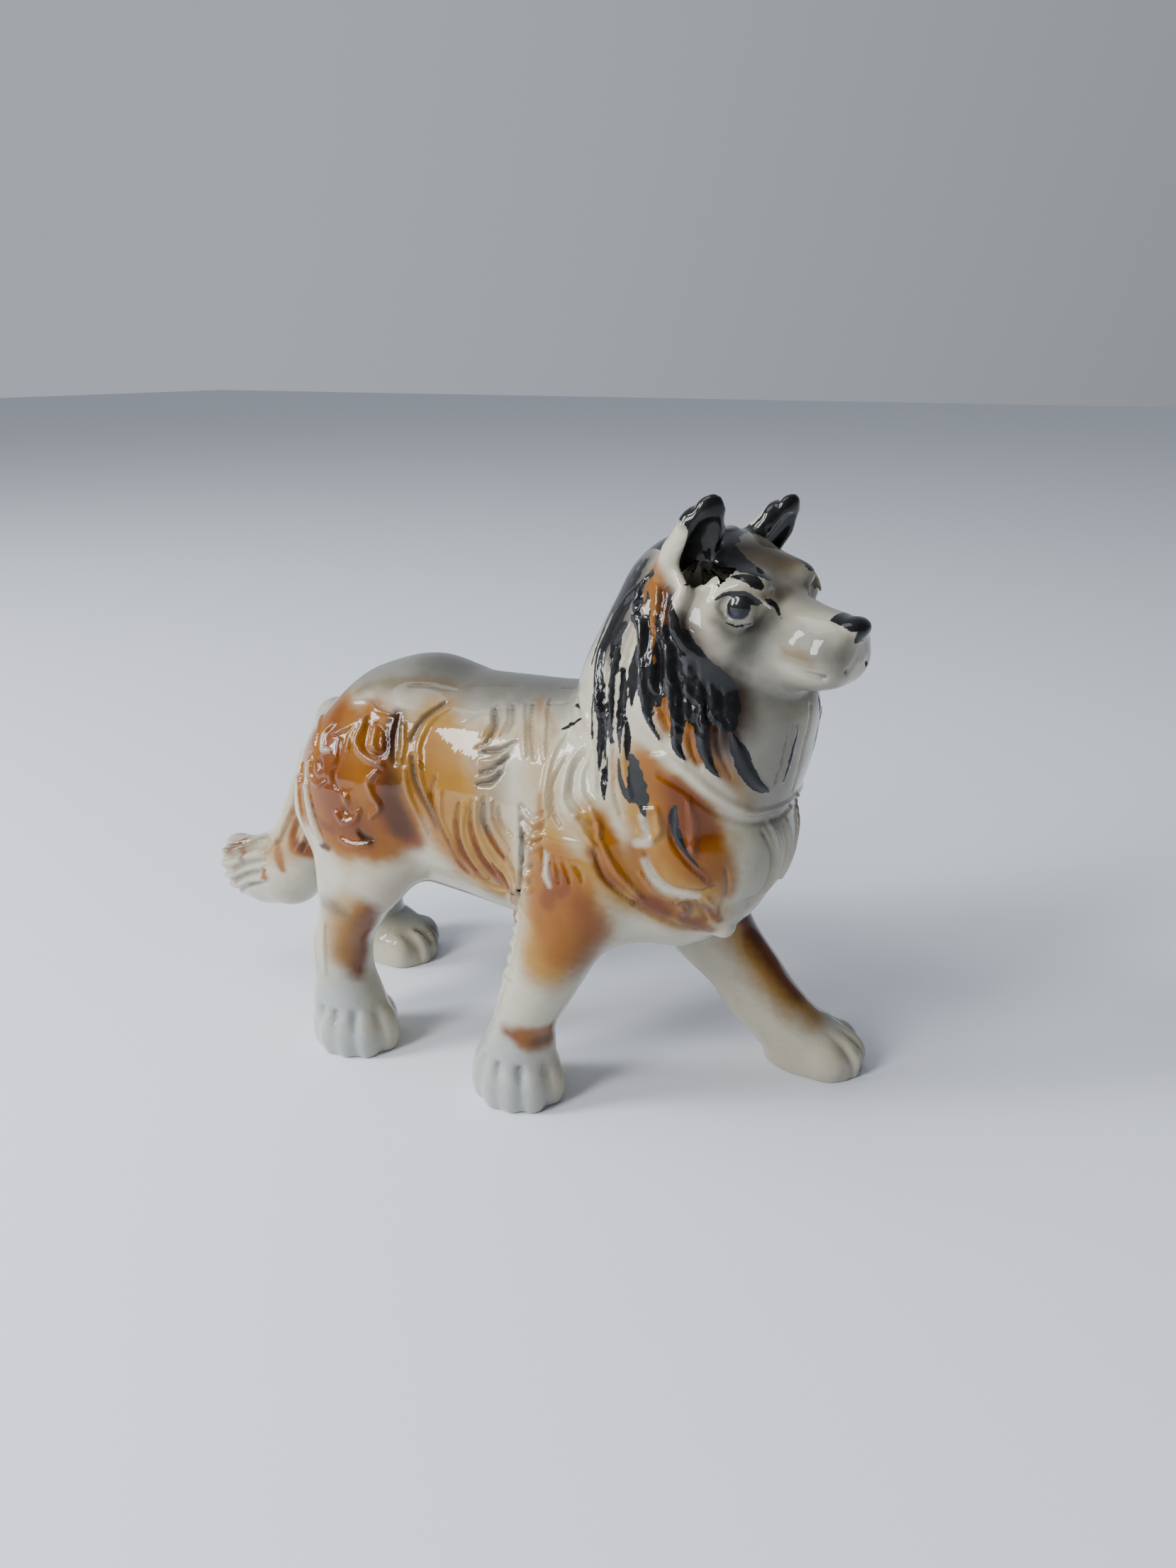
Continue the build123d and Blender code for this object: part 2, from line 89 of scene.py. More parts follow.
class Clay:
    """A block of signed distances that shapes are added to and cut from, each only where it reaches."""

    def __init__(self):
        self.d = np.full([len(a) for a in AXES], FAR_AWAY, np.float32)

    def work(self, shape, low, high, blend=2.0, cut=False):
        """Add a shape, or cut it away, inside the box from low to high, rounding the join over blend."""
        reach = max(blend, 1.0) + 3.0
        part = tuple(slice(*np.searchsorted(AXES[i], (low[i] - reach, high[i] + reach))) for i in range(3))
        x = AXES[0][part[0]][:, None, None]
        y = AXES[1][part[1]][None, :, None]
        z = AXES[2][part[2]][None, None, :]
        old = self.d[part]
        new = shape(x, y, z).astype(np.float32)
        if cut:
            new = -new
        mix = np.maximum(blend - np.abs(old - new), 0) / blend
        soften = mix * mix * blend / 4
        self.d[part] = np.maximum(old, new) + soften if cut else np.minimum(old, new) - soften

    def ball(self, middle, radii, blend=2.0, cut=False, turn=None):
        """An ellipsoid. turn is a matrix whose rows are the ellipsoid's own axes."""
        c, r = np.array(middle, float), np.array(radii, float)
        turn = np.eye(3) if turn is None else np.array(turn, float)
        half = np.sqrt(((turn * r[:, None]) ** 2).sum(0))

        def shape(x, y, z):
            p = [row[0] * (x - c[0]) + row[1] * (y - c[1]) + row[2] * (z - c[2]) for row in turn]
            k0 = np.sqrt(sum((p[i] / r[i]) ** 2 for i in range(3)))
            k1 = np.sqrt(sum((p[i] / r[i] ** 2) ** 2 for i in range(3)))
            return k0 * (k0 - 1) / np.maximum(k1, 1e-4)

        self.work(shape, c - half, c + half, blend, cut)

    def tube(self, points, blend=2.0, cut=False, squash=None):
        """A round bar through points (x, y, z, radius). squash is (direction, factor): thinner that way."""
        pts = np.array(points, float)
        low = (pts[:, :3] - pts[:, 3:]).min(0)
        high = (pts[:, :3] + pts[:, 3:]).max(0)
        if squash is not None:
            axis, factor = np.array(squash[0], float), squash[1]
            axis = axis / np.linalg.norm(axis)

        def shape(x, y, z):
            best = None
            for a, b in zip(pts[:-1], pts[1:]):
                ab = b[:3] - a[:3]
                p = [x - a[0], y - a[1], z - a[2]]
                t = np.clip((p[0] * ab[0] + p[1] * ab[1] + p[2] * ab[2]) / (ab @ ab), 0, 1)
                q = [p[i] - ab[i] * t for i in range(3)]
                dist = q[0] ** 2 + q[1] ** 2 + q[2] ** 2
                if squash is not None:
                    along = q[0] * axis[0] + q[1] * axis[1] + q[2] * axis[2]
                    dist = dist + along ** 2 * (factor ** 2 - 1)
                one = np.sqrt(np.maximum(dist, 0)) - (a[3] + (b[3] - a[3]) * t)
                best = one if best is None else np.minimum(best, one)
            if squash is not None:
                best = best / math.sqrt(factor)
            return best

        self.work(shape, low, high, blend, cut)

    def level(self, rows, blend=2.0, power=2.0):
        """A casting with level sections. Rows are z, x, y, half width, half length."""
        rows = sorted(rows)
        table = curve(rows, AXES[2])
        low = [min(r[1] - r[3] for r in rows), min(r[2] - r[4] for r in rows), rows[0][0]]
        high = [max(r[1] + r[3] for r in rows), max(r[2] + r[4] for r in rows), rows[-1][0]]

        def shape(x, y, z):
            k = np.searchsorted(AXES[2], z.ravel()[0])
            t = table[k:k + z.size]
            px = np.abs(x - t[:, 0][None, None, :])
            py = np.abs(y - t[:, 1][None, None, :])
            d = oval(px, py, t[:, 2][None, None, :], t[:, 3][None, None, :], power)
            return np.maximum(d, np.maximum(rows[0][0] - z, z - rows[-1][0]))

        self.work(shape, low, high, blend)

    def standing(self, rows, origin, forward, blend=2.0, power=2.0):
        """A casting with upright sections. Rows are place along forward, bottom, top, half width."""
        rows = sorted(rows)
        o, e = np.array(origin, float), np.array(forward, float)
        side = np.array([-e[1], e[0]])
        reach = [o[:2] + e[:2] * r[0] for r in rows]
        wide = max(r[3] for r in rows)
        low = [min(p[0] for p in reach) - wide, min(p[1] for p in reach) - wide, min(r[1] for r in rows)]
        high = [max(p[0] for p in reach) + wide, max(p[1] for p in reach) + wide, max(r[2] for r in rows)]
        fine = np.linspace(rows[0][0], rows[-1][0], 400)
        table = curve(rows, fine)

        def shape(x, y, z):
            f = (x - o[0]) * e[0] + (y - o[1]) * e[1]
            s = (x - o[0]) * side[0] + (y - o[1]) * side[1]
            fc = np.clip(f, rows[0][0], rows[-1][0])
            bottom, top, w = (np.interp(fc, fine, table[:, i]) for i in range(3))
            d = oval(np.abs(s), np.abs(z - (bottom + top) / 2), w, (top - bottom) / 2, power)
            return np.maximum(d, np.maximum(rows[0][0] - f, f - rows[-1][0]))

        self.work(shape, low, high, blend)


TURN = math.radians(13)  # the head looks to the dog's right
AHEAD = np.array([-math.sin(TURN), -math.cos(TURN), 0])
LEFT = np.array([math.cos(TURN), -math.sin(TURN), 0])
PIVOT = np.array([0, -45, 0])


def in_head(f, s, z):
    """A point of the turned head: forward of the neck, towards the dog's left, height."""
    return PIVOT + AHEAD * f + LEFT * s + np.array([0, 0, z])


HEAD_TURN = [LEFT, AHEAD, (0, 0, 1)]  # an ellipsoid's axes in the head: across, forward, up
EAR_OPENS = {-1: AHEAD + LEFT * -0.55, 1: AHEAD + LEFT * -0.12}  # where each ear's cup looks

# legs: rows of height, middle x and y, half width and half length
RIGHT_FORE = [(66, -14, -31, 10, 13), (62, -15.5, -31, 10.5, 14), (50, -18.5, -28.5, 9.2, 11.5),
    (38, -20.3, -25, 8.4, 9.5), (28, -20.6, -21, 7.6, 8.2), (20, -20.6, -17.7, 6.9, 7.4),
    (14, -20.3, -16, 7.6, 8.6), (8, -19.9, -15, 8.2, 10.3), (3, -19.6, -14.6, 8.3, 10.8),
    (-1, -19.6, -14.6, 7.6, 10), (-3, -19.6, -14.6, 7, 9)]
LEFT_FORE = [(66, 13, -36, 10, 13), (60, 14.5, -36.5, 10.5, 13), (50, 16.5, -38, 9.5, 12.4),
    (35, 19.5, -42.6, 8.4, 13.4), (26, 21, -48.4, 8, 13.2), (17, 22.3, -56.8, 7.7, 11),
    (12.4, 22.6, -61, 7.8, 12), (9.5, 23, -65.5, 8, 14.4), (6, 23.2, -69.6, 8.3, 14),
    (3, 23.2, -71.4, 8.4, 12.4), (-1, 23.2, -71.8, 7.8, 11.5), (-3, 23.2, -71.8, 7, 10.5)]
RIGHT_HIND = [(66, -14, 29, 9, 16), (60, -15.5, 28.5, 9.6, 16.8), (50, -18, 25, 9.3, 14),
    (42, -19.8, 26.2, 8.6, 10.8), (36, -20.9, 28.4, 7.4, 8.2), (28, -21.2, 31.8, 6.7, 7.2),
    (22, -21, 32.4, 6.6, 7.2), (14, -20.5, 31.9, 7.3, 8.8), (8, -19.9, 31.2, 8, 10.6),
    (3, -19.7, 31.8, 8.1, 11.1), (-1, -19.7, 31.8, 7.5, 10.4), (-3, -19.7, 31.8, 7, 9.5)]
LEFT_HIND = [(66, 14, 32, 9, 16), (60, 15, 33, 9.6, 16.8), (50, 17.5, 36, 9.3, 15), (40, 19.5, 43, 8.6, 11),
    (32, 20, 50, 7.6, 8.8), (26, 20.4, 54, 7.2, 8), (19, 20.7, 55.8, 7.2, 7.8), (12.5, 21, 56, 7.8, 8),
    (9.3, 21, 53.2, 8.4, 11), (6, 21, 50, 9.1, 12), (3, 21, 48.4, 9.3, 11.6), (-1, 21, 48, 8.7, 10.8),
    (-3, 21, 48, 8, 10)]


def paw_place(foot, half, turn, k):
    """A place k of the way out to a paw's rim, turn degrees from straight ahead to the dog's right."""
    a = math.radians(turn)
    d = np.array([-math.sin(a), -math.cos(a)])
    return np.array(foot) + d * (1 / math.hypot(d[0] / half[0], d[1] / half[1])) * k


clay = Clay()

# body
clay.standing([(-54.5, 58, 66, 3.5), (-52.5, 54.5, 70, 7.5), (-48, 50, 75, 13.5), (-40, 46, 84, 19.5),
    (-30, 43, 91.5, 23), (-18, 41.3, 94.6, 23.2), (-4, 40, 92.2, 22.8), (14, 38.6, 92.6, 24.2),
    (32, 37.8, 94, 25), (48, 39.2, 92, 23.2), (58, 44, 87, 18.4), (63.5, 50, 82, 13.6), (66.8, 57, 76, 8.5),
    (68.2, 61, 72, 4)], (0, 0, 0), (0, -1, 0), 2, 2.15)
clay.ball((-14, -32, 61), (11.3, 15.5, 20), 5)
clay.ball((14, -37, 61), (11.3, 15.5, 20), 5)
clay.ball((-13.2, 25.5, 63), (12.2, 18, 21), 5)
clay.ball((13.2, 27.5, 63), (12.2, 18, 21), 5)

# neck and ruff
clay.level([(60, 0, -43, 16, 15), (68, 0, -45, 21.4, 21.2), (77, 0, -46.5, 23.2, 23.6),
    (86, 0, -47.2, 23, 25), (94, -.2, -48.2, 21.8, 24.8), (101, -.4, -48, 20.4, 22.6),
    (108, -.7, -48.2, 18.7, 19.3), (114, -1.2, -48.6, 16.8, 16.4), (121, -1.8, -49.4, 13.8, 13.2),
    (126, -2.2, -50.8, 9.5, 8.8), (128, -2.4, -51.8, 4, 3.5)], 2.5, 2.1)

# the bib of the ruff, with its point low on the chest
clay.ball((-1.5, -50.5, 66.5), (21.6, 19.8, 19), 1.2)
clay.tube([(-6, -52, 60, 14), (-9, -57, 53.5, 6.5), (-11, -60, 49.6, 2.6)], 2.5)

# legs
clay.level(RIGHT_FORE, 5, 2.1)
clay.level(LEFT_FORE, 5, 2.1)
clay.level(RIGHT_HIND, 4, 2.1)
clay.level(LEFT_HIND, 4, 2.1)

# toes: bosses along the front of each paw, and the grooves between them
for foot_x, toe_y, toe_z, spread in ((23.2, -78.9, 4.3, .86), (21, 41.4, 4.1, .96)):
    for across, back in ((-6.9, 2.6), (-2.35, 0), (2.35, 0), (6.9, 2.6)):
        clay.ball((foot_x + across * spread, toe_y + back, toe_z), (2.7, 4.4, 4.9), 1.6)
    for across, back in ((-4.7, .6), (0, -.4), (4.7, .6)):
        x = foot_x + across * spread
        clay.tube([(x, toe_y - 4.6 + back, 1, .75), (x, toe_y - 4.4 + back, 4.5, .85),
            (x * .98 + foot_x * .02, toe_y - 1.2 + back, 9, .6),
            (x * .9 + foot_x * .1, toe_y + 2.6 + back, 11.2, .25)], 1.2, cut=True)

# near paws: broad toe lobes, parted most on the outer side
NEAR_PAWS = [
    ((-19.6, -14.6), (8.3, 10.8), ((-70, .6), (-25, .5), (18, .7), (52, .9), (86, 1), (118, .6))),
    ((-19.7, 31.8), (8.1, 11.1), ((-70, .6), (-25, .5), (16, .7), (48, .9), (80, 1), (110, .6))),
]
for foot, half, partings in NEAR_PAWS:
    for turn, deep in partings:
        p = [paw_place(foot, half, turn, k) for k in (1.08, 1.08, 1.03, .93)]
        clay.tube([(*p[0], -1, .8 * deep), (*p[1], 4.5, 1 * deep), (*p[2], 8.4, .7 * deep),
            (*p[3], 11.6, .15)], 2.6, cut=True)
    for turn in (-48, -4, 34, 68, 101):
        clay.ball((*paw_place(foot, half, turn, .86), 4.4), (2.7, 2.7, 5.2), 2.2)

# tail
clay.tube([(0, 45, 74, 7), (0, 49, 64.5, 7.7), (0, 53.4, 54.5, 8.6), (0, 57, 45, 9.4), (0, 61, 37, 10.2),
    (0, 67, 31.2, 10.6), (0, 74, 29, 9.7), (0, 80, 28.6, 8.6), (0, 84, 29.6, 7.4)], 4,
    squash=((1, 0, 0), 1.2))
# its end is cut off square
tip = np.array([0, .976, -.217])
clay.work(lambda x, y, z: (85.4 - y) * tip[1] + (30 - z) * tip[2] + 0 * x, (-14, 72, 12), (14, 96, 44),
    1.6, cut=True)

# head
clay.ball(in_head(8.5, 0, 115), (15.2, 14.6, 12.4), 3, turn=HEAD_TURN)
clay.standing([(8, 99.8, 126.3, 14.8), (14, 98.9, 125.4, 14.6), (18.5, 98.6, 123.2, 13),
    (22.5, 99, 119.6, 10.2), (26.5, 99.8, 117.2, 8.2), (30.5, 100.6, 116, 7.2), (34.5, 101.6, 115.3, 6.7),
    (36.6, 102.6, 114.7, 6.1), (37.9, 104.4, 113.8, 4.8), (38.7, 107, 112, 2.4)], PIVOT, AHEAD, 2.5, 2.3)
for side in (-1, 1):
    # brow
    clay.ball(in_head(19.5, side * (8.6 if side < 0 else 6.6), 119.8), (4.6, 4.6, 2.9), 3, turn=HEAD_TURN)
    clay.ball(in_head(13.6, side * 10.6, 108.2), (5.8, 8.2, 8.6), 2.5, turn=HEAD_TURN)  # cheek
    clay.ball(in_head(32.2, side * 3.9, 107), (3.8, 6, 4.6), 2.5, turn=HEAD_TURN)  # flews
    clay.ball(in_head(21.4, side * 13, 116.2), (3, 4.2, 3.4), 2.2, cut=True, turn=HEAD_TURN)  # socket
    clay.ball(in_head(19.8, side * 10.6, 116.4), (2.9, 3.3, 3.1), .6, turn=HEAD_TURN)  # eyeball
    # upper lid
    clay.tube([(*in_head(15.8, side * 13.7, 117.2), .5), (*in_head(17.8, side * 13.2, 119.4), .75),
        (*in_head(20.4, side * 12.1, 119.9), .8), (*in_head(23.2, side * 10.3, 118.3), .6),
        (*in_head(25, side * 9, 116.6), .3)], .9)
    # lower lid
    clay.tube([(*in_head(16.2, side * 13.8, 115.6), .4), (*in_head(18, side * 13.4, 113.6), .7),
        (*in_head(20.4, side * 12.4, 112.9), .8), (*in_head(22.6, side * 11, 113.9), .5)], .9)
    # ear: a cupped leaf
    drop = 0 if side < 0 else 2.2
    facing = EAR_OPENS[side] + np.array([0, 0, -.18])
    facing = facing / np.linalg.norm(facing)
    spine = ((5.5, 10.6, 119.5, 0), (8.6, 11.9, 124.2, .3), (11.8, 12.9, 129.4, .7), (14, 13.3, 132.9, 1),
        (14.6, 13.4, 133.9, 1))
    ear = [in_head(f, side * s, z - drop * k) for f, s, z, k in spine]
    clay.tube([(*p, r) for p, r in zip(ear, (5.6, 5.6, 4.8, 3, 2.2))], 1.6, squash=(facing, 1.7))
    clay.tube([(*p + facing * 4.2, r) for p, r in zip(ear[:4], (2, 3.6, 3.4, 2))], .8, cut=True,
        squash=(facing, 1.2))
clay.ball(in_head(37.4, 0, 113.2), (3.5, 2.5, 2.1), .9, turn=HEAD_TURN)  # nose
for side in (-1, 1):
    # the parting of the lips, and the fold of hair from the ear to the cheek
    clay.tube([(*in_head(39.9, side * .2, 110.6), .35), (*in_head(38.6, side * 3.2, 106.4), .4),
        (*in_head(35, side * 6.6, 105.2), .45), (*in_head(29.6, side * 9, 105.6), .3)], .8, cut=True)
    clay.tube([(*in_head(9, side * 15.6, 121.6), 1), (*in_head(11.2, side * 16.4, 119.2), 1.3),
        (*in_head(10.2, side * 17.6, 115), 1.3), (*in_head(10.6, side * 17.9, 112), 1.3),
        (*in_head(12.6, side * 17.2, 109), 1.2), (*in_head(15.4, side * 15.6, 106.6), .7)], 1.2)

# the soles are ground flat
clay.d = np.maximum(clay.d, -AXES[2][None, None, :])

grid = openvdb.FloatGrid(FAR_AWAY)
grid.copyFromArray(clay.d)
points, quads = grid.convertToQuads(isovalue=0.0)
points = points * VOXEL + LOW


# -------------------- places on the coat
def vertex_normals(pts, faces):
    """Normals of the whole figure, so that the pieces shade as one skin across their seams."""
    total = np.zeros_like(pts)
    c = pts[faces]
    n = np.cross(c[:, 2] - c[:, 0], c[:, 3] - c[:, 1])
    for k in range(4):
        np.add.at(total, faces[:, k], n)
    return total / np.linalg.norm(total, axis=1)[:, None]


surface = BVHTree.FromPolygons(points.tolist(), quads.tolist())
mesh_normals = vertex_normals(points, quads)
if mesh_normals[points[:, 2].argmax()][2] < 0:
    mesh_normals = -mesh_normals


def meet(start, way):
    """Where a line from start first meets the coat, and the coat's normal there."""
    hit, normal = surface.ray_cast(Vector(start), Vector(way))[:2]
    if hit is None:
        hit, normal = surface.find_nearest(Vector(start) + Vector(way) * 45)[:2]
    normal = np.array(normal)
    return (*hit, *(normal if normal @ np.array(way) < 0 else -normal))


def on_side(y, z, side):
    """Seen from the dog's right (side -1) or left (side 1)."""
    return meet((side * 60, y, z), (-side, 0, 0))


def on_ruff(turn, z, side):
    """Round the neck: turn is the angle in degrees from straight ahead."""
    out = np.array([side * math.sin(math.radians(turn)), -math.cos(math.radians(turn)), 0])
    return meet(np.array([0, -46, z]) + out * 70, -out)


def on_head(f, z, side):
    """Seen from the side of the turned head."""
    return meet(in_head(f, side * 50, z), -LEFT * side)


def on_top(x, y, side):
    """Seen from above."""
    return meet((x, y, 160), (0, 0, -1))


def on_front(x, z, side):
    """Seen from in front of the dog."""
    return meet((x, -130, z), (0, 1, 0))


def on_crown(f, s, side):
    """Seen from above the turned head, s towards the dog's left."""
    x, y, _ = in_head(f, s, 0)
    return meet((x, y, 160), (0, 0, -1))


def line(place, rows, side):
    """Places on the coat along a smooth line. Rows are two coordinates and a half width."""
    fine = np.linspace(0, len(rows) - 1, 5 * (len(rows) - 1) + 1)
    path = curve([(i, *r) for i, r in enumerate(rows)], fine)
    return np.array([(*place(a, b, side), w) for a, b, w in path])


def near(path, reach):
    """Points of the coat near a line: their numbers, distance from it and its half width there."""
    wide = path[:, 6].max() + reach
    low, high = path[:, :3].min(0) - wide, path[:, :3].max(0) + wide
    found = np.nonzero(((points > low) & (points < high)).all(1))[0]
    p = points[found]
    best = np.full(len(p), 1e3)
    width = np.zeros(len(p))
    for a, b in zip(path[:-1], path[1:]):
        ab = b[:3] - a[:3]
        t = np.clip((p - a[:3]) @ ab / max(ab @ ab, 1e-9), 0, 1)
        d = np.linalg.norm(p - a[:3] - t[:, None] * ab, axis=1)
        d = np.where(mesh_normals[found] @ a[3:6] > -0.1, d, 1e3)
        closer = d < best
        best[closer] = d[closer]
        width[closer] = (a[6] + (b[6] - a[6]) * t)[closer]
    return found, best, width


BOTH, RIGHT_ONLY, LEFT_ONLY, ONCE = (-1, 1), (-1,), (1,), (1,)  # the sides that a stroke is made on
RELIEF = 1.15  # how boldly the hair stands out
lift = np.zeros(len(points))


def mould(height, place, *rows, sides=BOTH):
    """A lock of hair standing out of the coat, or a groove where height is below zero."""
    for side in sides:
        found, d, w = near(line(place, rows, side), 0.5)
        r = np.clip(d / np.maximum(w, 0.15), 0, 1)
        lift[found] += RELIEF * height * (1 - r * r) ** 2


def grain(p, scale, seed):
    """Smooth noise between about -1 and 1."""
    rng = np.random.default_rng(seed)
    total = np.zeros(len(p))
    for _ in range(7):
        way = rng.normal(size=3)
        way *= (0.7 + 0.6 * rng.random()) / np.linalg.norm(way) / scale * 2.2
        total += np.sin(p @ way + rng.random() * 6.28)
    return total / 3.2


brushed = grain(points, 2.6, 4)
fine_grain = grain(points, 0.9, 9)
paint = np.zeros((len(points), 3))
black = np.zeros(len(points))


def linear(r, g, b):
    """A colour given in the usual 0-255 numbers, as light."""
    return (np.array([r, g, b]) / 255) ** 2.2


CREAM, COOL, TAN = linear(172, 166, 147), linear(150, 155, 152), linear(142, 104, 40)
ORANGE, RUST, BROWN, PLUM = linear(124, 75, 0), linear(98, 49, 0), linear(56, 31, 5), linear(42, 18, 8)
GREY, SMOKE, OLIVE = linear(112, 110, 102), linear(72, 70, 64), linear(92, 72, 38)
paint[:] = CREAM

BODY = 1.15  # how much every wash is strengthened
THICKEST = 0.98  # the most that a wash hides


def wash(color, strength, soft, place, *rows, sides=BOTH):
    """Thin colour sprayed or brushed along a line, fading over soft millimetres beyond its half width."""
    for side in sides:
        found, d, w = near(line(place, rows, side), soft * 1.6 + 0.5)
        d = d + brushed[found] * soft * 0.12 + fine_grain[found] * soft * 0.07
        a = min(strength * BODY, THICKEST) * smooth(w + soft * 1.4, w - soft * 0.4, d)
        paint[found] += (color - paint[found]) * a[:, None]


def inked(inside):
    """How black a place is that lies inside millimetres within the edge of the black, where it is 0.5."""
    return np.clip(0.5 + inside / 2, 0, 1)


def ink(place, *rows, sides=BOTH, rough=0.12):
    """A black brush stroke with a slightly uneven edge."""
    for side in sides:
        found, d, w = near(line(place, rows, side), 1.2)
        uneven = (brushed[found] + fine_grain[found]) * rough * np.clip(w / 0.8, 0.15, 1)
        black[found] = np.maximum(black[found], inked(w + 0.12 - d + uneven))


# -------------------- hair, modelled
# haunch curls
HAUNCH_CURLS = [
    (.55, (30.5, 82, .7), (32.6, 79.3, 1), (31.5, 76.8, 1.1), (29.3, 76.9, .6)),
    (.65, (21.8, 84.2, .8), (22.6, 80, 1.2), (19.6, 77, 1.3), (15.3, 75.6, .8)),
    (-.5, (20.6, 83.2, .6), (20.2, 79, .8), (17, 77.4, .8), (15, 79, .7), (16.4, 82.6, .6),
     (18.8, 83.8, .5)),
    (.5, (18.4, 82.8, .8), (18.2, 79.6, 1.3), (17.2, 78.6, .8)),
    (.5, (29.5, 80.2, .6), (25.5, 82.2, .9), (21.8, 85, .6)),
    (.5, (24.5, 78, .7), (24.4, 80.5, .9), (22.5, 84, .5)),
    (-.45, (27, 79.5, .7), (26.4, 76, .9), (27.6, 72, .7), (26, 69, .4)),
    (.55, (16.4, 74.2, .6), (18.2, 71.6, 1), (17.2, 68.8, 1), (15.5, 66.4, .9), (17.8, 63.8, .5)),
    (-.6, (32.2, 74, 1.3), (31.9, 72.8, 1.3)),
    (.5, (35.6, 74.2, .6), (35.3, 70.2, 1), (32.4, 68.8, .9), (30, 70, .4)),
    (.55, (23.9, 67.6, 1.3), (23.7, 66.9, 1.3)),
    (.5, (26.6, 63.6, .7), (24.6, 61.6, 1), (21.8, 62.6, 1), (20.4, 65.2, .6)),
    (-.4, (24.4, 64.6, .9), (23.2, 64.2, .8)),
    (-.45, (20.6, 60.2, 1), (19.4, 59, 1.1), (17.4, 58.6, .5)),
    (.45, (25.6, 57.6, .6), (22.4, 56.6, 1), (18.4, 57.2, .6)),
    (.45, (37.2, 73, .5), (37, 66.5, .9), (35, 61, 1), (31.4, 54.4, .5)),
    (-.4, (35.4, 67.5, .6), (33.6, 62, .8), (30.6, 57, .5)),
    (.4, (38.5, 81, .6), (35.6, 79.5, 1), (35.2, 76.6, .8), (36.8, 75.2, .5)),
    (.4, (40.5, 71, .5), (40.2, 65, .9), (38, 58.5, .9), (34.8, 52, .5)),
    (.4, (12.2, 84, .5), (11, 79.5, .8), (11.2, 76.5, .4)),
    (-.35, (13.8, 85.5, .8), (13.3, 80.5, 1.4), (12.5, 76.5, .8)),
    (.4, (28, 86.4, .5), (23.2, 87.2, .9), (19.4, 86, .9), (15.6, 85.6, .4)),
]
for height, *rows in HAUNCH_CURLS:
    mould(height, on_side, *rows)

# loin and flank: long locks sweeping down and forward
FLANK_LOCKS = [
    (-.55, (5, 88.6, .5), (8.6, 85, .8), (9.6, 81.4, .6)),
    (.4, (3.4, 87.8, .5), (6.8, 84.6, 1), (7.6, 80.6, .9), (6.4, 76.4, .5)),
    (-.6, (8.8, 78.4, .5), (7.2, 73.2, .9), (4, 68.4, .9), (1.4, 63.6, .5)),
    (.5, (6.8, 77.4, .5), (5.2, 72.4, 1), (2.4, 67, 1), (-.2, 61.4, .5)),
    (.45, (10, 75.4, .5), (8.8, 70.4, .9), (6.6, 66, .9), (4.6, 61.6, .4)),
    (-.5, (2.2, 75.2, .5), (3, 70.4, .8), (1, 65.4, .8), (-1.4, 60.4, .5)),
    (.4, (.6, 72.4, .5), (.6, 67, .9), (-1.8, 61.4, .9), (-3.6, 56.8, .4)),
    (-.6, (-4.4, 70.6, .4), (-3.4, 64.6, .8), (-4.6, 59.4, .9), (-7.6, 54.8, .5)),
    (.5, (-5.9, 70.2, .5), (-5.2, 64.4, .9), (-7, 58.6, 1), (-10.4, 54, .5)),
    (-.6, (-7.6, 72, .4), (-7.4, 66, .8), (-9.4, 60, .9), (-12.8, 55.6, .5)),
    (.5, (-9, 72.4, .5), (-9, 67.2, .9), (-11.4, 61.6, 1), (-14.6, 57.4, .5)),
    (-.6, (-10.8, 73.2, .4), (-10.8, 68.8, .8), (-13.2, 64, .9), (-16, 60.4, .4)),
    (.5, (-12.6, 73, .5), (-12.8, 69.4, .9), (-15, 65.6, .9), (-17.4, 63, .4)),
    (-.5, (-14.6, 72, .4), (-15.4, 68.8, .8), (-18.4, 66.4, .4)),
    (-.7, (-15.6, 84.6, .4), (-12.4, 82.6, .9), (-8.6, 81.8, .5)),
    (-.7, (-15, 81.8, .4), (-12.4, 79.2, .9), (-9.2, 77.8, .5)),
    (-.7, (-14.2, 78.6, .4), (-11.8, 76.2, .9), (-8.8, 75.4, .4)),
    (.5, (-15.2, 83.2, .4), (-12.6, 80.8, .8), (-8.8, 79.8, .5)),
    (.5, (-14.4, 80, .4), (-12.2, 77.6, .8), (-9, 76.6, .5)),
    (-.6, (-7.4, 89.2, .4), (-9.6, 86.2, .7), (-8.8, 83.4, .6), (-6.6, 82.2, .3)),
    (.5, (-6, 88.8, .4), (-7.8, 86.4, .8), (-7.2, 84.2, .6)),
    (.5, (-9.8, 89.4, .4), (-11.6, 87, .8), (-11.2, 84.8, .5)),
    (-.5, (-11.2, 90, .4), (-13.6, 87.4, .8), (-13.4, 85.4, .4)),
    (.5, (-13.4, 90.2, .4), (-16.6, 86.6, .9), (-19, 82.4, .6)),
    (-.5, (-15.6, 90.6, .4), (-18.8, 86.6, .8), (-21.4, 82.2, .5)),
    (.5, (-18.2, 91.4, .4), (-21.4, 87.4, .9), (-23.8, 82.4, .5)),
    (-.45, (-6.6, 53.4, .5), (-11.2, 51.4, .8), (-15.4, 52.2, .5)),
    (.4, (-2, 56.4, .5), (-5.4, 52.6, .9), (-9.6, 50.4, .4)),
    (-.5, (-12.8, 58.4, .4), (-15.2, 54.8, .8), (-17, 50.6, .5)),
    (.5, (-14.4, 58.8, .4), (-17, 55, .9), (-18.2, 50.4, .5)),
    (-.5, (-16.4, 62, .4), (-18.2, 58, .8), (-19.4, 53, .5)),
]
for height, *rows in FLANK_LOCKS:
    mould(height, on_side, *rows)

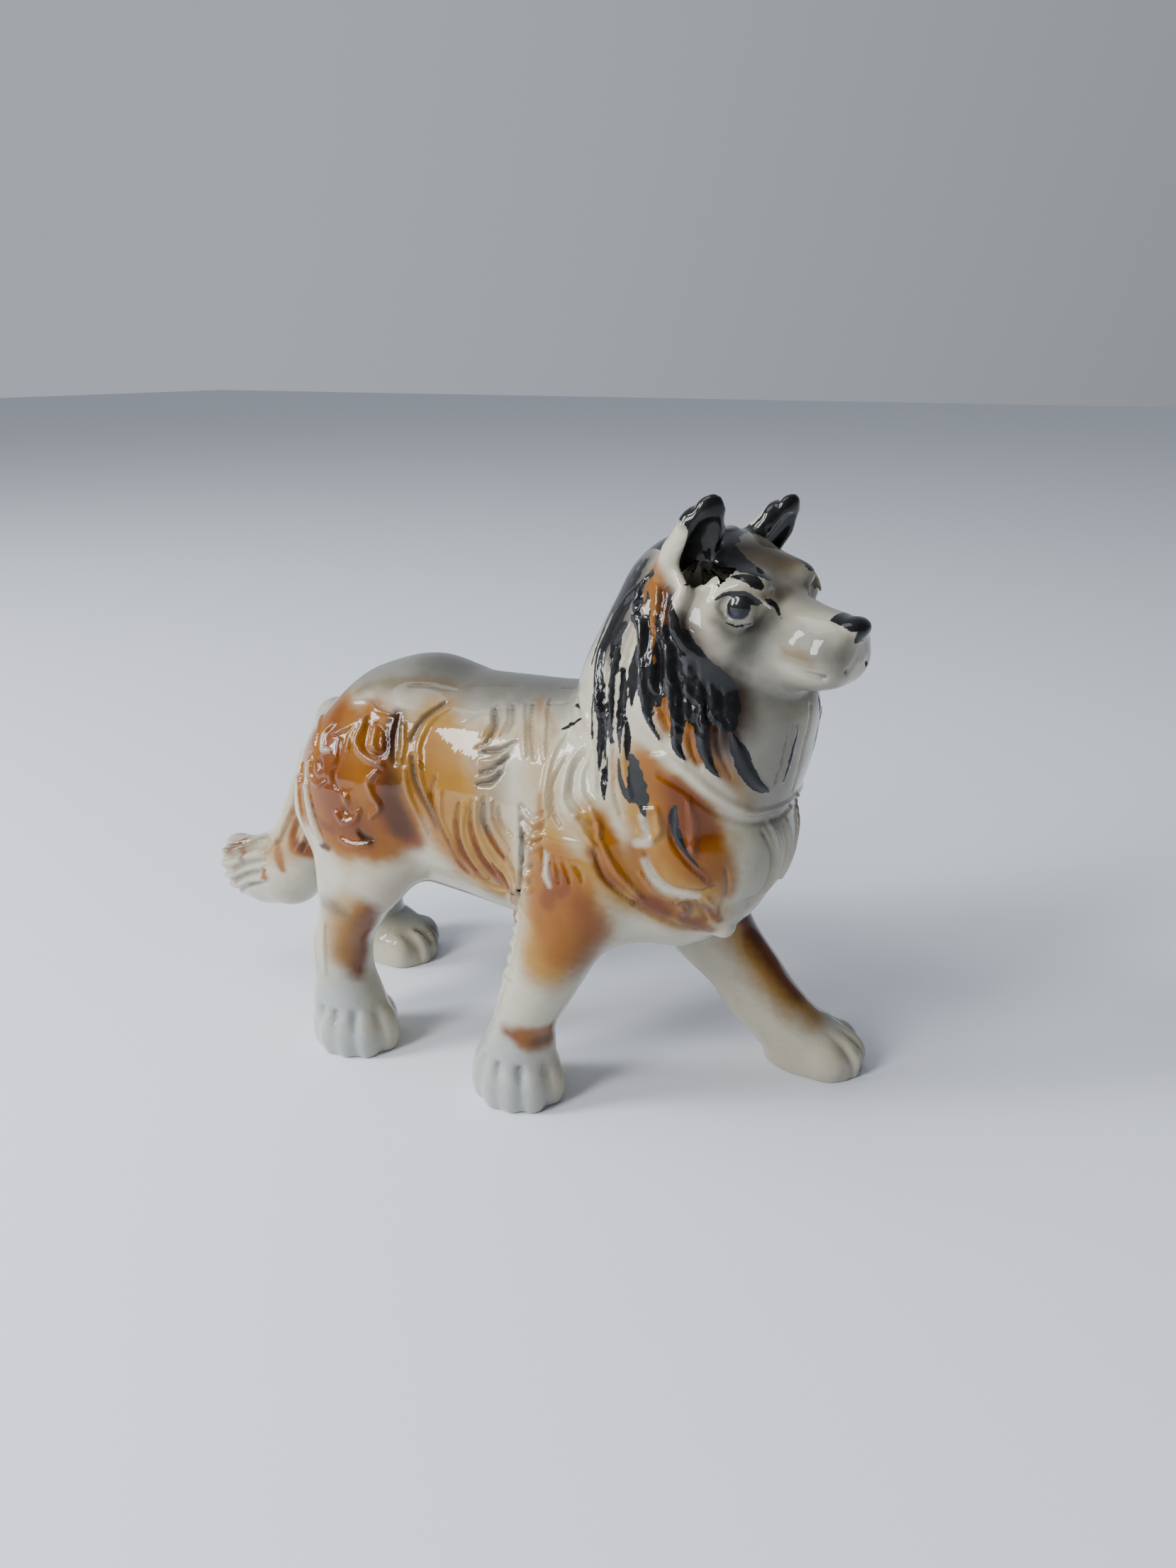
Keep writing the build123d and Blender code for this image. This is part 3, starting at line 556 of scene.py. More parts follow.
# the fringe behind the shoulder and down the fore legs
mould(-.7, on_side, (-20.4, 70, .3), (-21, 65, .7), (-20.8, 59, 1), (-19.2, 53, .8), (-17.6, 47, .5))
mould(.35, on_side, (-23, 70, .4), (-22.8, 64, 1), (-22.2, 56, .9))
for z, reach in ((73.6, 5.2), (70.8, 5.6), (68.2, 5.2), (62.2, 3.4), (58.6, 3.2)):
    mould(-.5, on_side, (-20.4, z, .5), (-20.6 - reach * .6, z - 1.9, .8), (-20.8 - reach, z - .2, .4))
    mould(.4, on_side, (-20.4, z - 1.6, .4), (-20.6 - reach * .6, z - 3.3, .7),
        (-20.8 - reach, z - 1.8, .4))
for k in range(7):
    z = 53 - 3.3 * k
    mould(.3, on_side, (-18.6 + .4 * k, z + 1.2, 1), (-17 + .46 * k, z - 1, 2), sides=RIGHT_ONLY)
    mould(-.3, on_side, (-20.6 + .3 * k, z + .4, .5), (-17.8 + .4 * k, z - .6, .9), sides=RIGHT_ONLY)
    mould(.4, on_side, (-23.2 - 1.5 * k, z + 1.2, .8), (-22.2 - 1.5 * k, z - 1, 1.8), sides=LEFT_ONLY)
for a, b in (((-27.6, 65.5), (-28.6, 60)), ((-29.2, 64.5), (-30.8, 59.6)), ((-31.4, 64), (-33.2, 60)),
        ((-26.2, 66), (-26.6, 61)), ((-34, 64), (-36, 60.6))):
    mould(-.4, on_side, (*a, .4), ((a[0] + b[0]) / 2 - .5, (a[1] + b[1]) / 2, .7), (*b, .3))

# mane: locks falling from behind the ears
MANE_LOCKS = [
    (.7, (-42, 118.6, .6), (-38.4, 114.6, 1.5), (-35.6, 109, 1.8), (-33.8, 104, 1.8), (-34.2, 99, 1.3),
     (-35.8, 94, .6)),
    (-.6, (-42.6, 115.6, .4), (-39.6, 110.6, .8), (-37.2, 105.4, .9), (-36.6, 100, .8), (-37.8, 94, .4)),
    (.55, (-42, 113.6, .5), (-39.8, 108, 1.1), (-38.4, 102.6, 1.2), (-38.6, 97, 1), (-39.8, 90, .5)),
    (-.5, (-42.6, 110.6, .4), (-41.2, 105, .7), (-40.6, 99, .8), (-41.2, 92.6, .5)),
    (.65, (-43.4, 120, .6), (-41.6, 115.4, 1.2), (-43.6, 111, 1.5), (-45.2, 106.6, 1.7), (-46, 101.6, 1.6),
     (-46.6, 96.6, 1.1), (-50, 91.4, .4)),
    (-.5, (-46.4, 112, .4), (-48, 106, .8), (-48.6, 100.6, .8), (-49.8, 95.6, .4)),
    (.5, (-47.2, 114, .5), (-49.6, 108.6, 1.2), (-50.4, 102.8, 1.3), (-51.4, 97, .8), (-53.4, 92.6, .4)),
    (-.5, (-36, 99.6, .4), (-36.4, 93, .8), (-37.6, 87, .8), (-38.6, 81, .4)),
    (.5, (-34.4, 96.6, .5), (-34.4, 90.6, 1.1), (-35.6, 84.6, 1.1), (-36.6, 79, .5)),
    (.5, (-41.6, 94.6, .5), (-42.2, 89.4, 1.2), (-43, 84, 1), (-44.4, 79, .4)),
    (-.5, (-39.6, 92, .4), (-40, 86, .8), (-40.6, 80, .8), (-42.6, 75, .4)),
    (.6, (-31.8, 86.4, .5), (-29.6, 82, 1.1), (-29.8, 77.4, 1.2), (-33, 73.6, 1), (-36.4, 72.8, .4)),
    (-.5, (-33, 86, .4), (-31.2, 81.8, .8), (-31.6, 78, .8), (-34.4, 75.2, .5)),
    (.45, (-34.4, 85.4, .4), (-33, 81.6, .8), (-33.6, 78.4, .8), (-36, 76.4, .4)),
    (-.6, (-28.6, 84, .4), (-27.2, 79, .8), (-27.8, 74.4, .8), (-30.4, 71, .4)),
    (.5, (-26.6, 88, .4), (-25.2, 82.4, .9), (-25.4, 77, .9), (-27, 72, .4)),
    (.6, (-36.2, 75.6, .5), (-38.2, 72.8, 1), (-38.6, 70, .6)),
    (.5, (-33.2, 73.8, .4), (-35.2, 71.4, .9), (-37.8, 68.6, .4)),
    (-.5, (-37.8, 68, .4), (-39.4, 63.6, .8), (-42.8, 59.4, .8), (-46, 56, .4)),
    (.5, (-39.2, 69.6, .5), (-41.6, 64.8, 1.2), (-44.6, 61.2, 1), (-47.2, 57.6, .4)),
    (.45, (-24.8, 91.8, .4), (-28, 88.6, .9), (-30.6, 87.6, .5)),
    (-.45, (-26.6, 93.4, .4), (-29.6, 90.8, .8), (-32, 89, .4)),
    (.5, (-28.4, 95.4, .4), (-31.6, 92.6, 1), (-33.4, 88.6, .5)),
]
for height, *rows in MANE_LOCKS:
    mould(height, on_side, *rows)
for turn, z, rise, length in ((90, 119, .5, 9), (84, 116, .45, 9), (97, 113, .5, 9), (88, 109, .5, 9),
        (79, 110, .45, 8), (94, 104, .5, 9), (83, 101, .5, 8), (76, 103, .5, 8), (69, 107, .45, 8),
        (64, 103, .5, 8), (57, 102, .4, 7), (68, 99, .45, 6)):
    mould(rise * .7, on_ruff, (turn, z, .5), (turn - 1.5, z - length * .35, 1.25),
        (turn - 1, z - length * .7, 1.1), (turn - 4, z - length, .4))
    mould(-rise * .7, on_ruff, (turn - 4, z, .4), (turn - 5.2, z - length * .35, .7),
        (turn - 5, z - length * .7, .6), (turn - 7.4, z - length, .3))

# ruff: the layer of hair over the bib, and the fingers of hair that end on it
RUFF_LOCKS = [
    (.55, (72, 100, .5), (72, 95, 1.3), (72.5, 91, 1.1), (68, 88.2, .4)),
    (.55, (61, 99, .5), (60.5, 93, 1.3), (58.5, 88.6, .9), (52.5, 85, .3)),
    (-.4, (66, 100, .4), (66, 94, .8), (65, 90, .7), (61, 86.6, .3)),
    (-.35, (54.5, 97, .4), (54, 92, .8), (51, 88, .6), (47, 84.6, .3)),
    (.45, (48, 94, .5), (44, 89, 1.4), (37, 84, 1.2), (28.5, 80.8, .4)),
    (.5, (84, 88, .5), (76, 88.4, 1.2), (66, 85.6, 1.4), (55, 81.6, 1.4), (44, 78.6, 1.3), (32, 76.4, 1.2),
     (16, 76, 1), (0, 76.4, .9)),
    (-.35, (80, 84.6, .6), (68, 82.2, 1), (56, 78.4, 1.1), (44, 75.6, 1.1), (32, 74, 1), (16, 73.6, .9),
     (0, 74, .8)),
    (-.4, (22, 92.6, .3), (23, 87, .5), (26, 81.4, .3)),
    (.35, (17, 92.8, .4), (18.4, 87, .8), (21, 81.6, .4)),
    (-.5, (6, 96, .4), (8, 90, .8), (9, 84, .8), (8, 78, .4)),
    (.5, (88, 77, .6), (81, 77.4, 1), (79, 73.4, 1.1), (84, 71, 1), (89, 72.6, .6)),
    (-.4, (85.4, 74.6, 1.1), (83.8, 73.6, 1)),
    (-.5, (72.6, 78, .5), (73.4, 73, .9), (66, 67.6, .7), (57, 63.8, .4)),
    (.4, (66, 80, .6), (63, 74, 1.6), (63, 69.6, 1)),
    (-.45, (86, 68, .5), (80, 63.4, .9), (70, 61.2, .9), (60, 61, .7), (52, 62.4, .4)),
    (.5, (88, 63.6, .5), (80, 60, 1.2), (70, 58.2, 1.1), (66, 55.4, .6)),
    (.45, (70.4, 57.6, .5), (67, 58.4, .9), (63.8, 56.4, .9), (66, 54.2, .6)),
    (-.45, (61, 58.6, .4), (56, 55.4, .8), (52, 52.6, .5)),
    (.4, (56, 59.6, .4), (51, 56.8, .9), (46, 53.4, .5)),
    (-.5, (92, 56.4, .6), (84, 54.2, 1.1), (74, 52.2, 1), (64, 50, .9), (56, 49.4, .5)),
    (-.4, (48, 66, .4), (46, 60, .8), (47, 54, .6)),
    (.6, (24, 74, .6), (18, 68, 1.1), (17, 61, 1.1), (24, 54, .6)),
    (-.5, (28, 72, .5), (22, 66, .8), (21, 60, .8), (28, 54, .4)),
    (.5, (8, 72, .6), (3, 65, 1.1), (2, 58, .8)),
    (-.4, (13, 73, .4), (9, 66, .8), (9, 59, .5)),
]
for height, *rows in RUFF_LOCKS:
    mould(height, on_ruff, *rows)

# nape and back: shallow partings that no side view shows
for x in (-8, -3, 3, 8):
    mould(-.35, on_top, (x, -31, .4), (x * 1.15, -26, .8), (x * 1.3, -19, .4), sides=ONCE)
for x, y in ((-12, -12), (-5, -9), (5, -10), (12, -13), (-9, 4), (8, 3), (-11, 20), (11, 21), (0, 24)):
    mould(-.22, on_top, (x, y, .4), (x * 1.1, y + 5, .9), (x * 1.35, y + 11, .4), sides=ONCE)

# tail: tufts that fan out to the cut end
for z0, z1, z2 in ((38.5, 37, 33.4), (35.5, 33.6, 30), (32.5, 30.4, 26.6), (29, 27.2, 23), (41, 39.4, 36)):
    mould(-.65, on_side, (67, z0 + 1, .4), (74, z1, .9), (81, z2, 1), (86, z2 - 1.4, .8))
for z0, z1, z2 in ((40, 38.4, 35), (37, 35.4, 31.8), (34, 32, 28.4), (30.6, 28.6, 24.8)):
    mould(.5, on_side, (67, z0 + 1, .4), (74, z1, .9), (81, z2, 1.1), (86, z2 - 1.4, .9))
for a, b, c in (((51, 60), (54, 51), (57, 44)), ((54, 58), (57.6, 49), (61, 42)),
        ((49, 54), (51.6, 47), (55, 40.6)), ((58, 50), (61.5, 43), (66, 38))):
    mould(-.45, on_side, (*a, .4), (*b, .8), (*c, .4))
    mould(.4, on_side, (a[0] + 1.4, a[1], .4), (b[0] + 1.5, b[1], .8), (c[0] + 1.6, c[1], .4))

# legs: the right hock's tendon and the groove behind it
mould(.35, on_side, (31, 36, .5), (32, 30, 1), (32.8, 22, .8), sides=RIGHT_ONLY)
mould(-.25, on_side, (35, 37, .5), (35.6, 30, 1), (35.2, 22, .7), sides=RIGHT_ONLY)

# -------------------- colour, painted
# cool white on the lower legs, smoke along the back
for side, path in ((-1, RIGHT_FORE), (1, LEFT_FORE), (-1, RIGHT_HIND), (1, LEFT_HIND)):
    wash(COOL, .8, 5, on_side, (path[-4][2], 13, 6), (path[-2][2], 4, 9), (path[-2][2], 1, 9),
        sides=(side,))
wash(GREY, .85, 7, on_top, (0, 36, 9), (0, 24, 12), (0, 8, 12), (0, -8, 11), (0, -22, 9), (0, -30, 5),
    sides=ONCE)
wash(SMOKE, .55, 6, on_top, (0, 14, 3), (0, 2, 5), (0, -12, 5), (0, -24, 3), sides=ONCE)
wash(OLIVE, .5, 2.2, on_side, (28, 88.6, .8), (20, 91, 1), (12, 91.6, 1), (4, 90.8, .6))

# haunch
HAUNCH_WASHES = [
    (TAN, .9, 5, (36, 82, 5), (29, 72, 10), (22, 64, 9)),
    (ORANGE, .85, 2.6, (36, 83, 3), (35.6, 77, 3), (35, 70, 3.4), (32.4, 63, 3), (28, 58.4, 2.4)),
    (ORANGE, .9, 3.5, (35, 84.4, 2.5), (30, 82, 5.5), (26, 74, 8.5), (24, 66, 7.5), (24, 60, 3.5)),
    (ORANGE, .95, 3, (21, 86, 2), (16, 80, 6), (13, 72, 6.4), (12, 64, 5.6), (15, 58, 3.4)),
    (ORANGE, .9, 2.6, (34, 70, 3), (30, 62, 4), (24, 57.6, 3), (18, 57, 2)),
    (RUST, .6, 3.4, (30, 70, 2), (26, 63, 3), (20, 60, 2.4)),
    (ORANGE, .85, 2.6, (41, 80, 2), (41, 74, 2.6), (40, 68, 2.4), (37.6, 62, 1.6)),
    (RUST, .85, 2.4, (13.6, 78, 2.4), (13, 71, 3.6), (11.4, 64.4, 3.4), (8.6, 59.6, 1.6)),
    (RUST, .6, 3, (28.5, 78.4, 1.4), (27, 74, 2), (26, 66, 2), (22, 62, 2)),
    (RUST, .6, 2, (31, 84, 1), (29, 79, 1.6), (31, 73.6, 1.6), (29, 67, 1.4)),
    (BROWN, .7, 2, (12.6, 74, 1.2), (12, 68, 2.4), (10.6, 62.4, 2.2)),
    (PLUM, .95, 1.4, (14.2, 85.4, 1.2), (13.6, 82, 2.2), (12.8, 78.2, 1.5)),
    (BROWN, .8, .7, (20.6, 59.8, .6), (19.2, 58.4, .8), (17.6, 58.2, .3)),
    (BROWN, .8, .6, (31.4, 55, .6), (29.4, 54.6, .6)),
    (RUST, .8, .8, (34.6, 64, .4), (32.4, 60.6, .5), (28, 59.4, .4)),
    (CREAM, .85, .7, (37.4, 72, .3), (37, 66.5, .5), (35, 61, .6), (31.8, 55.6, .3)),
    (CREAM, .6, .5, (32.6, 79.3, .2), (31.5, 76.8, .4), (29.5, 76.9, .2)),
]
for color, strength, soft, *rows in HAUNCH_WASHES:
    wash(color, strength, soft, on_side, *rows)

# flank
FLANK_WASHES = [
    (TAN, .9, 4.5, (6.5, 86, 3), (3, 80, 7), (0, 73, 7), (-3, 66, 6.4), (-6, 60, 6), (-12, 54.6, 4.6)),
    (ORANGE, .5, 3, (6, 80, 1.5), (6, 72, 2), (2, 64, 2), (-4, 56, 2)),
    (TAN, .7, 4, (-9, 84, 2), (-10, 74, 3), (-12, 66, 4), (-15, 60, 3)),
    (ORANGE, .35, 3, (1, 81, 2), (-1, 76, 2.6), (-2, 70, 2)),
    (ORANGE, .6, .9, (3.2, 70.4, .5), (2.6, 66.6, .9), (1.2, 63.4, .4)),
]
for color, strength, soft, *rows in FLANK_WASHES:
    wash(color, strength, soft, on_side, *rows)
FLANK_RUST = [
    ((-3.6, 66, .2), (-4.4, 59.6, .6), (-7.4, 55, .6), (-9, 52.8, .2)),
    ((-7.4, 66.4, .2), (-8.8, 60.4, .7), (-12.2, 55.8, .6), (-13.6, 54, .2)),
    ((-10.8, 68, .2), (-13, 63.8, .4), (-15.8, 60.4, .2)),
    ((-1.2, 61, .2), (-2.4, 57, .5), (-4.8, 54, .2)),
    ((-12.6, 58, .2), (-15, 54.6, .5), (-16.8, 51, .5)),
    ((-9.4, 59, .2), (-11, 56.6, .6), (-13.4, 53.6, .3)),
]
for rows in FLANK_RUST:
    wash(RUST, .75, .8, on_side, *rows)

# painted shade: grey laid into the partings between the flank's locks
FLANK_GROOVE_SHADE = [
    ((5, 88.6, .3), (8.6, 85, .5), (9.6, 81.4, .3)),
    ((8.8, 78.4, .2), (7.2, 73.2, .5), (4, 68.4, .4), (1.4, 63.6, .2)),
    ((-15.6, 84.6, .2), (-12.4, 82.6, .5), (-8.6, 81.8, .3)),
    ((-15, 81.8, .2), (-12.4, 79.2, .5), (-9.2, 77.8, .3)),
    ((-14.2, 78.6, .2), (-11.8, 76.2, .4), (-8.8, 75.4, .2)),
    ((-7.4, 89.2, .2), (-9.6, 86.2, .3), (-8.8, 83.4, .3)),
    ((-19.8, 73, .1), (-20.4, 66, .3), (-20.6, 59, .4), (-19.2, 53, .3)),
    ((-11.2, 72, .2), (-10.8, 68.8, .3), (-12, 66, .2)),
]
for rows in FLANK_GROOVE_SHADE:
    wash(SMOKE, .6, .8, on_side, *rows)

# shoulder
SHOULDER_WASHES = [
    (GREY, .35, 3, (-9, 80, 2), (-13, 77, 2.5), (-12, 70, 2)),
    (TAN, .45, 3.4, (-18, 87, 1.4), (-23, 82, 2.4), (-26, 76, 2.4), (-26, 70, 2)),
    (ORANGE, .4, 1.4, (-16, 91, .4), (-20, 89.6, .8), (-24, 87.4, .4)),
    (ORANGE, .6, .8, (-24.6, 76, .3), (-25.2, 71, .5), (-25.4, 66, .4)),
    (ORANGE, .6, .6, (-20.8, 71.6, .2), (-23.4, 69.6, .5), (-25.6, 70.6, .2)),
    (ORANGE, .6, .6, (-20.8, 68.6, .2), (-23.4, 66.8, .5), (-25.6, 68, .2)),
    (BROWN, .7, .6, (-20.8, 66.6, .4), (-22, 65.4, .5)),
]
for color, strength, soft, *rows in SHOULDER_WASHES:
    wash(color, strength, soft, on_side, *rows)

# fore legs
FORE_LEG_WASHES = [
    (TAN, .95, 4.5, (-29, 67, 3), (-31, 59, 8), (-31, 50, 8), (-28, 42, 5)),
    (ORANGE, .9, 3.4, (-29, 63, 3), (-31, 57, 6), (-32, 50, 6), (-31, 45, 3)),
    (ORANGE, .9, 3, (-28, 61, 2), (-28.4, 56, 3.6), (-28, 50.6, 2.4)),
    (RUST, .7, 1.2, (-27.6, 62.4, .3), (-29.2, 59, 1), (-28, 55, 1.4)),
    (RUST, .7, .9, (-31, 62, .3), (-32.2, 59.6, 1), (-31, 57.4, .6)),
    (RUST, .5, 2.6, (-36, 56, 1.5), (-38, 50, 2), (-36.4, 44, 1.4), (-33, 38, .6)),
    (CREAM, .7, .5, (-27.2, 65, .3), (-27.4, 61, .5), (-28.6, 58.6, .2)),
]
for color, strength, soft, *rows in FORE_LEG_WASHES:
    wash(color, strength, soft, on_side, *rows)
wash(RUST, .85, 2.2, on_side, (-17.4, 20.8, .5), (-20, 20.2, 1.2), (-23.6, 19.4, 2), (-27, 19, 2.2),
    sides=RIGHT_ONLY)
wash(ORANGE, .9, 2.4, on_front, (-26, 19.6, 1.6), (-20.6, 19.4, 2.4), (-16, 19.8, 1.8), sides=RIGHT_ONLY)
wash(BROWN, .5, 1.2, on_front, (-25, 18.6, .6), (-20.6, 18.2, .9), (-16.4, 18.6, .6), sides=RIGHT_ONLY)
for y, z in ((-17.4, 52.4), (-17.4, 46.6), (-16.2, 40.4)):
    wash(RUST, .7, .8, on_side, (y, z + 1.4, .5), (y + .2, z - 1.2, .7), sides=RIGHT_ONLY)
wash(TAN, .8, 4, on_front, (18, 44, 5), (19, 34, 6), (21, 22, 5), (22, 14, 2), sides=LEFT_ONLY)
wash(RUST, .9, 2.4, on_front, (19.4, 44, 3), (20.4, 36, 3.6), (21.6, 27, 3.4), (22.6, 18, 1.8),
    sides=LEFT_ONLY)
wash(BROWN, .7, 2, on_front, (18.4, 43, 1.6), (19.6, 38, 2), (20.4, 32, 1.4), sides=LEFT_ONLY)
wash(RUST, .7, 3, on_side, (-46, 42, 3), (-51, 34, 3), (-55, 26, 2.4), sides=LEFT_ONLY)

# hind legs
wash(RUST, .9, 2.4, on_side, (20.4, 40, 2.2), (23.4, 35, 3.2), (25.4, 29, 3), (25.8, 23, 1.4),
    sides=RIGHT_ONLY)
wash(TAN, .6, 3, on_side, (24, 42, 2), (27, 36, 3), (28, 28, 2), sides=RIGHT_ONLY)
wash(BROWN, .5, 2, on_side, (25, 40, .8), (28, 41, 1.2), (31, 41, .8), sides=RIGHT_ONLY)
wash(ORANGE, .7, .9, on_side, (36.6, 41, .4), (37.8, 36, .5), (38, 31, .3), sides=RIGHT_ONLY)
wash(RUST, .7, 2.6, on_side, (36, 36, 1.6), (40, 28, 2.2), (44, 18, 2), sides=LEFT_ONLY)
wash(BROWN, .7, 2.4, on_side, (40.4, 9.6, 1.2), (38.6, 5.6, 1.4), sides=LEFT_ONLY)

# tail
TAIL_WASHES = [
    (TAN, .6, 3, (52, 62, 2), (55, 52, 3.5), (59, 43, 3.5), (66, 39, 2)),
    (ORANGE, .9, 1.2, (56.4, 51, .6), (57, 46, .8), (56.6, 42, 1.6), (53, 41, 1.8)),
    (RUST, .8, 1, (56.4, 43, .6), (54, 41.4, 1)),
    (ORANGE, .85, 1, (62.8, 42, .5), (62.2, 38.4, 1.3), (61.2, 35, .7)),
    (ORANGE, .8, .9, (67.8, 33, .5), (67.4, 31.6, .7)),
    (OLIVE, .6, 1.8, (71, 40, .8), (76, 37.6, 1.4), (82, 35, 1.4)),
    (RUST, .7, 1, (79, 37.6, .6), (83, 34.6, .9)),
]
for color, strength, soft, *rows in TAIL_WASHES:
    wash(color, strength, soft, on_side, *rows)
# painted shade: grey laid into the tail's grooves
for z0, z1, z2 in ((35.5, 33.6, 30), (32.5, 30.4, 26.6), (29, 27.2, 23)):
    wash(GREY, .55, .9, on_side, (70, z0, .2), (75, z1, .5), (80, z2, .4))

# chest
wash(TAN, .95, 3.5, on_ruff, (92, 84, 4), (80, 78, 6.5), (68, 70, 7.5), (66, 62, 7), (62, 55, 5))
wash(TAN, .85, 3, on_side, (-36, 74, 1.5), (-41, 66, 3), (-45, 60, 3.4), (-52, 56, 3))
CHEST_WASHES = [
    (ORANGE, .9, 2.6, (88, 87, 1.4), (82, 82.6, 3.2), (74, 80, 3.2), (65, 76, 4.2), (62, 70.6, 4.2),
     (58, 67, 2)),
    (RUST, .85, 2.6, (72, 82, 1.4), (66, 78, 2.8), (62, 72, 3.2), (58, 67, 2.2)),
    (ORANGE, .8, 2, (90, 68, 1.6), (85, 63, 2.2), (82, 58, 2.4), (76, 55.4, 2)),
    (ORANGE, .65, 1.8, (76, 68.6, .8), (66, 65.4, 1), (57, 65.4, 2.2), (52, 68, 2.4), (48, 64, 1.6),
     (45, 60.4, 1)),
    (RUST, .85, 1.4, (88, 57.6, 1), (82, 56.4, 1.5), (76, 54.6, .8)),
    (RUST, .8, .9, (71, 57.4, .4), (67, 58, .7), (64, 56.2, .7), (66, 53.4, .8), (60, 51, 1.2),
     (56, 50, .8)),
    (RUST, .8, .8, (56, 57, .4), (53, 56, .6), (50, 54.6, .6), (46, 52.6, .5)),
    (RUST, .75, .9, (57, 52.4, .8), (53, 50.4, 1), (49, 49.6, .8)),
    (RUST, .7, .6, (66, 67.6, .3), (59, 65.4, .6), (55, 62.6, .5)),
]
for color, strength, soft, *rows in CHEST_WASHES:
    wash(color, strength, soft, on_ruff, *rows)
wash(ORANGE, .9, 1.6, on_side, (-38, 73.4, .8), (-40.4, 69, 1.8), (-42.6, 63.6, 1.6), (-44, 60.6, .6))
wash(RUST, .7, .9, on_side, (-36.8, 67.6, .3), (-39.6, 63.4, .7), (-41.6, 60.8, .4))
wash(ORANGE, .8, 2, on_ruff, (17, 70, 1.6), (14, 62, 2.2), (18, 56, 1.4), sides=LEFT_ONLY)
wash(CREAM, .9, .8, on_ruff, (86, 66.4, .3), (79, 62, .6), (70, 60, .6), (60, 59.6, .5))

# the white layer of the ruff that ends the mane
wash(CREAM, .95, .9, on_side, (-42.4, 99.6, .8), (-43.8, 94, 1.2), (-48.6, 90.6, 1), (-53.6, 87, 1.1))
wash(CREAM, .95, 1, on_ruff, (72, 88, .8), (66, 86, 1.1), (55, 82, 1.2), (44, 79, 1.2), (34, 76.6, 1.1))
wash(CREAM, .8, .6, on_ruff, (88, 75.6, .3), (84, 70.6, .5), (90, 70, .6))

# mane, with painted shade in grey down the front of the neck
MANE_WASHES_AND_SHADE = [
    (ORANGE, .95, 1.8, (94, 121.6, 2), (92, 117, 2.6), (88, 111.6, 3), (82, 105, 3), (78, 99, 2.6),
     (75, 94.6, 1.6)),
    (BROWN, .8, 1.8, (82, 117, 1.4), (79, 112, 2.4), (76, 106, 2), (72, 99, 1.2)),
    (ORANGE, .9, .9, (66, 96, 1.2), (65.6, 92, 1.3), (62, 88.4, 1)),
    (ORANGE, .9, 1.2, (55.6, 94, 1.2), (53.6, 90, 1.6), (50, 86.4, 1.2), (45, 83.6, .6)),
    (TAN, .6, 1.6, (44, 85, .8), (40, 80.6, 1), (37, 79, .6)),
    (SMOKE, .95, 2.8, (46, 103, .6), (43.6, 98.6, 2.2), (45, 94, 2.4), (50, 91.4, 1.6)),
    (BROWN, .6, 1.6, (60, 93, 1.2), (54, 92, 1.6), (48, 93, 1.2)),
    # painted shade: grey down the front of the neck
    (GREY, .6, 4, (34, 97, 4), (30, 90, 6), (26, 82, 5), (20, 76, 3)),
]
for color, strength, soft, *rows in MANE_WASHES_AND_SHADE:
    wash(color, strength, soft, on_ruff, *rows)
# painted shade: grey on the right of the chest, the side turned from the light
wash(GREY, .35, 3, on_ruff, (20, 72, 2.4), (26, 64, 2.4), (34, 56, 1.4), sides=RIGHT_ONLY)

# face
# painted shade: grey below and behind the eye
wash(GREY, .55, 2.6, on_head, (13, 110.5, 1.5), (16.5, 108.5, 2.6), (21, 109.5, 2.6), (25, 112, 1.6))
# painted shade: grey along the underside of the jaw
wash(GREY, .5, 2.4, on_head, (24, 101, 2.5), (29, 100.8, 3), (35, 102.4, 2))
wash(BROWN, .45, 3, on_crown, (13, -6, 2.5), (18, -7.5, 3), (22, -6, 2), sides=ONCE)
# painted shade: grey on the side of the muzzle
wash(GREY, .35, 4, on_head, (30, 104, 3), (26, 108, 4), (34, 110, 4))
wash(GREY, .4, 3, on_crown, (18, -3, 4), (22, 0, 4), (20, 5, 3), sides=ONCE)
# painted shade: grey below the eye and on the front of the muzzle, olive-brown along the mouth
FACE_SHADE_WASHES = [
    (GREY, .5, 2.4, (17, 113.6, 1.2), (21, 111.6, 2.4), (22.6, 108.6, 1.8), (20, 107, .8)),
    (SMOKE, .45, 1.4, (22.8, 113.6, .6), (22.6, 110.4, .9), (21, 108.6, .4)),
    (GREY, .6, 2.6, (30, 111, 1), (34, 110, 2.2), (36.6, 108.6, 2.4)),
    (OLIVE, .6, 1.4, (28, 108.4, .4), (30.6, 108.2, .8), (33, 107.6, .3)),
    (SMOKE, .4, 1.8, (34.4, 110, .8), (36.4, 109, 1.2)),
]
for color, strength, soft, *rows in FACE_SHADE_WASHES:
    wash(color, strength, soft, on_head, *rows)
wash(GREY, .4, 2.6, on_crown, (25, 0, 1.6), (30, 0, 1.6), (33, 0, 1.2), sides=ONCE)
wash(OLIVE, .7, 2.2, on_crown, (15.6, -7, 1), (17.8, -3, 1.8), (19.6, 1, 2.2), (20.4, 5, 1.6), sides=ONCE)
wash(BROWN, .45, 1.6, on_crown, (16.4, -3, .8), (18.4, 1.5, 1.4), (19.6, 5, 1), sides=ONCE)
wash(OLIVE, .5, 1, on_head, (22.4, 119.6, .4), (24.4, 118.4, .6))

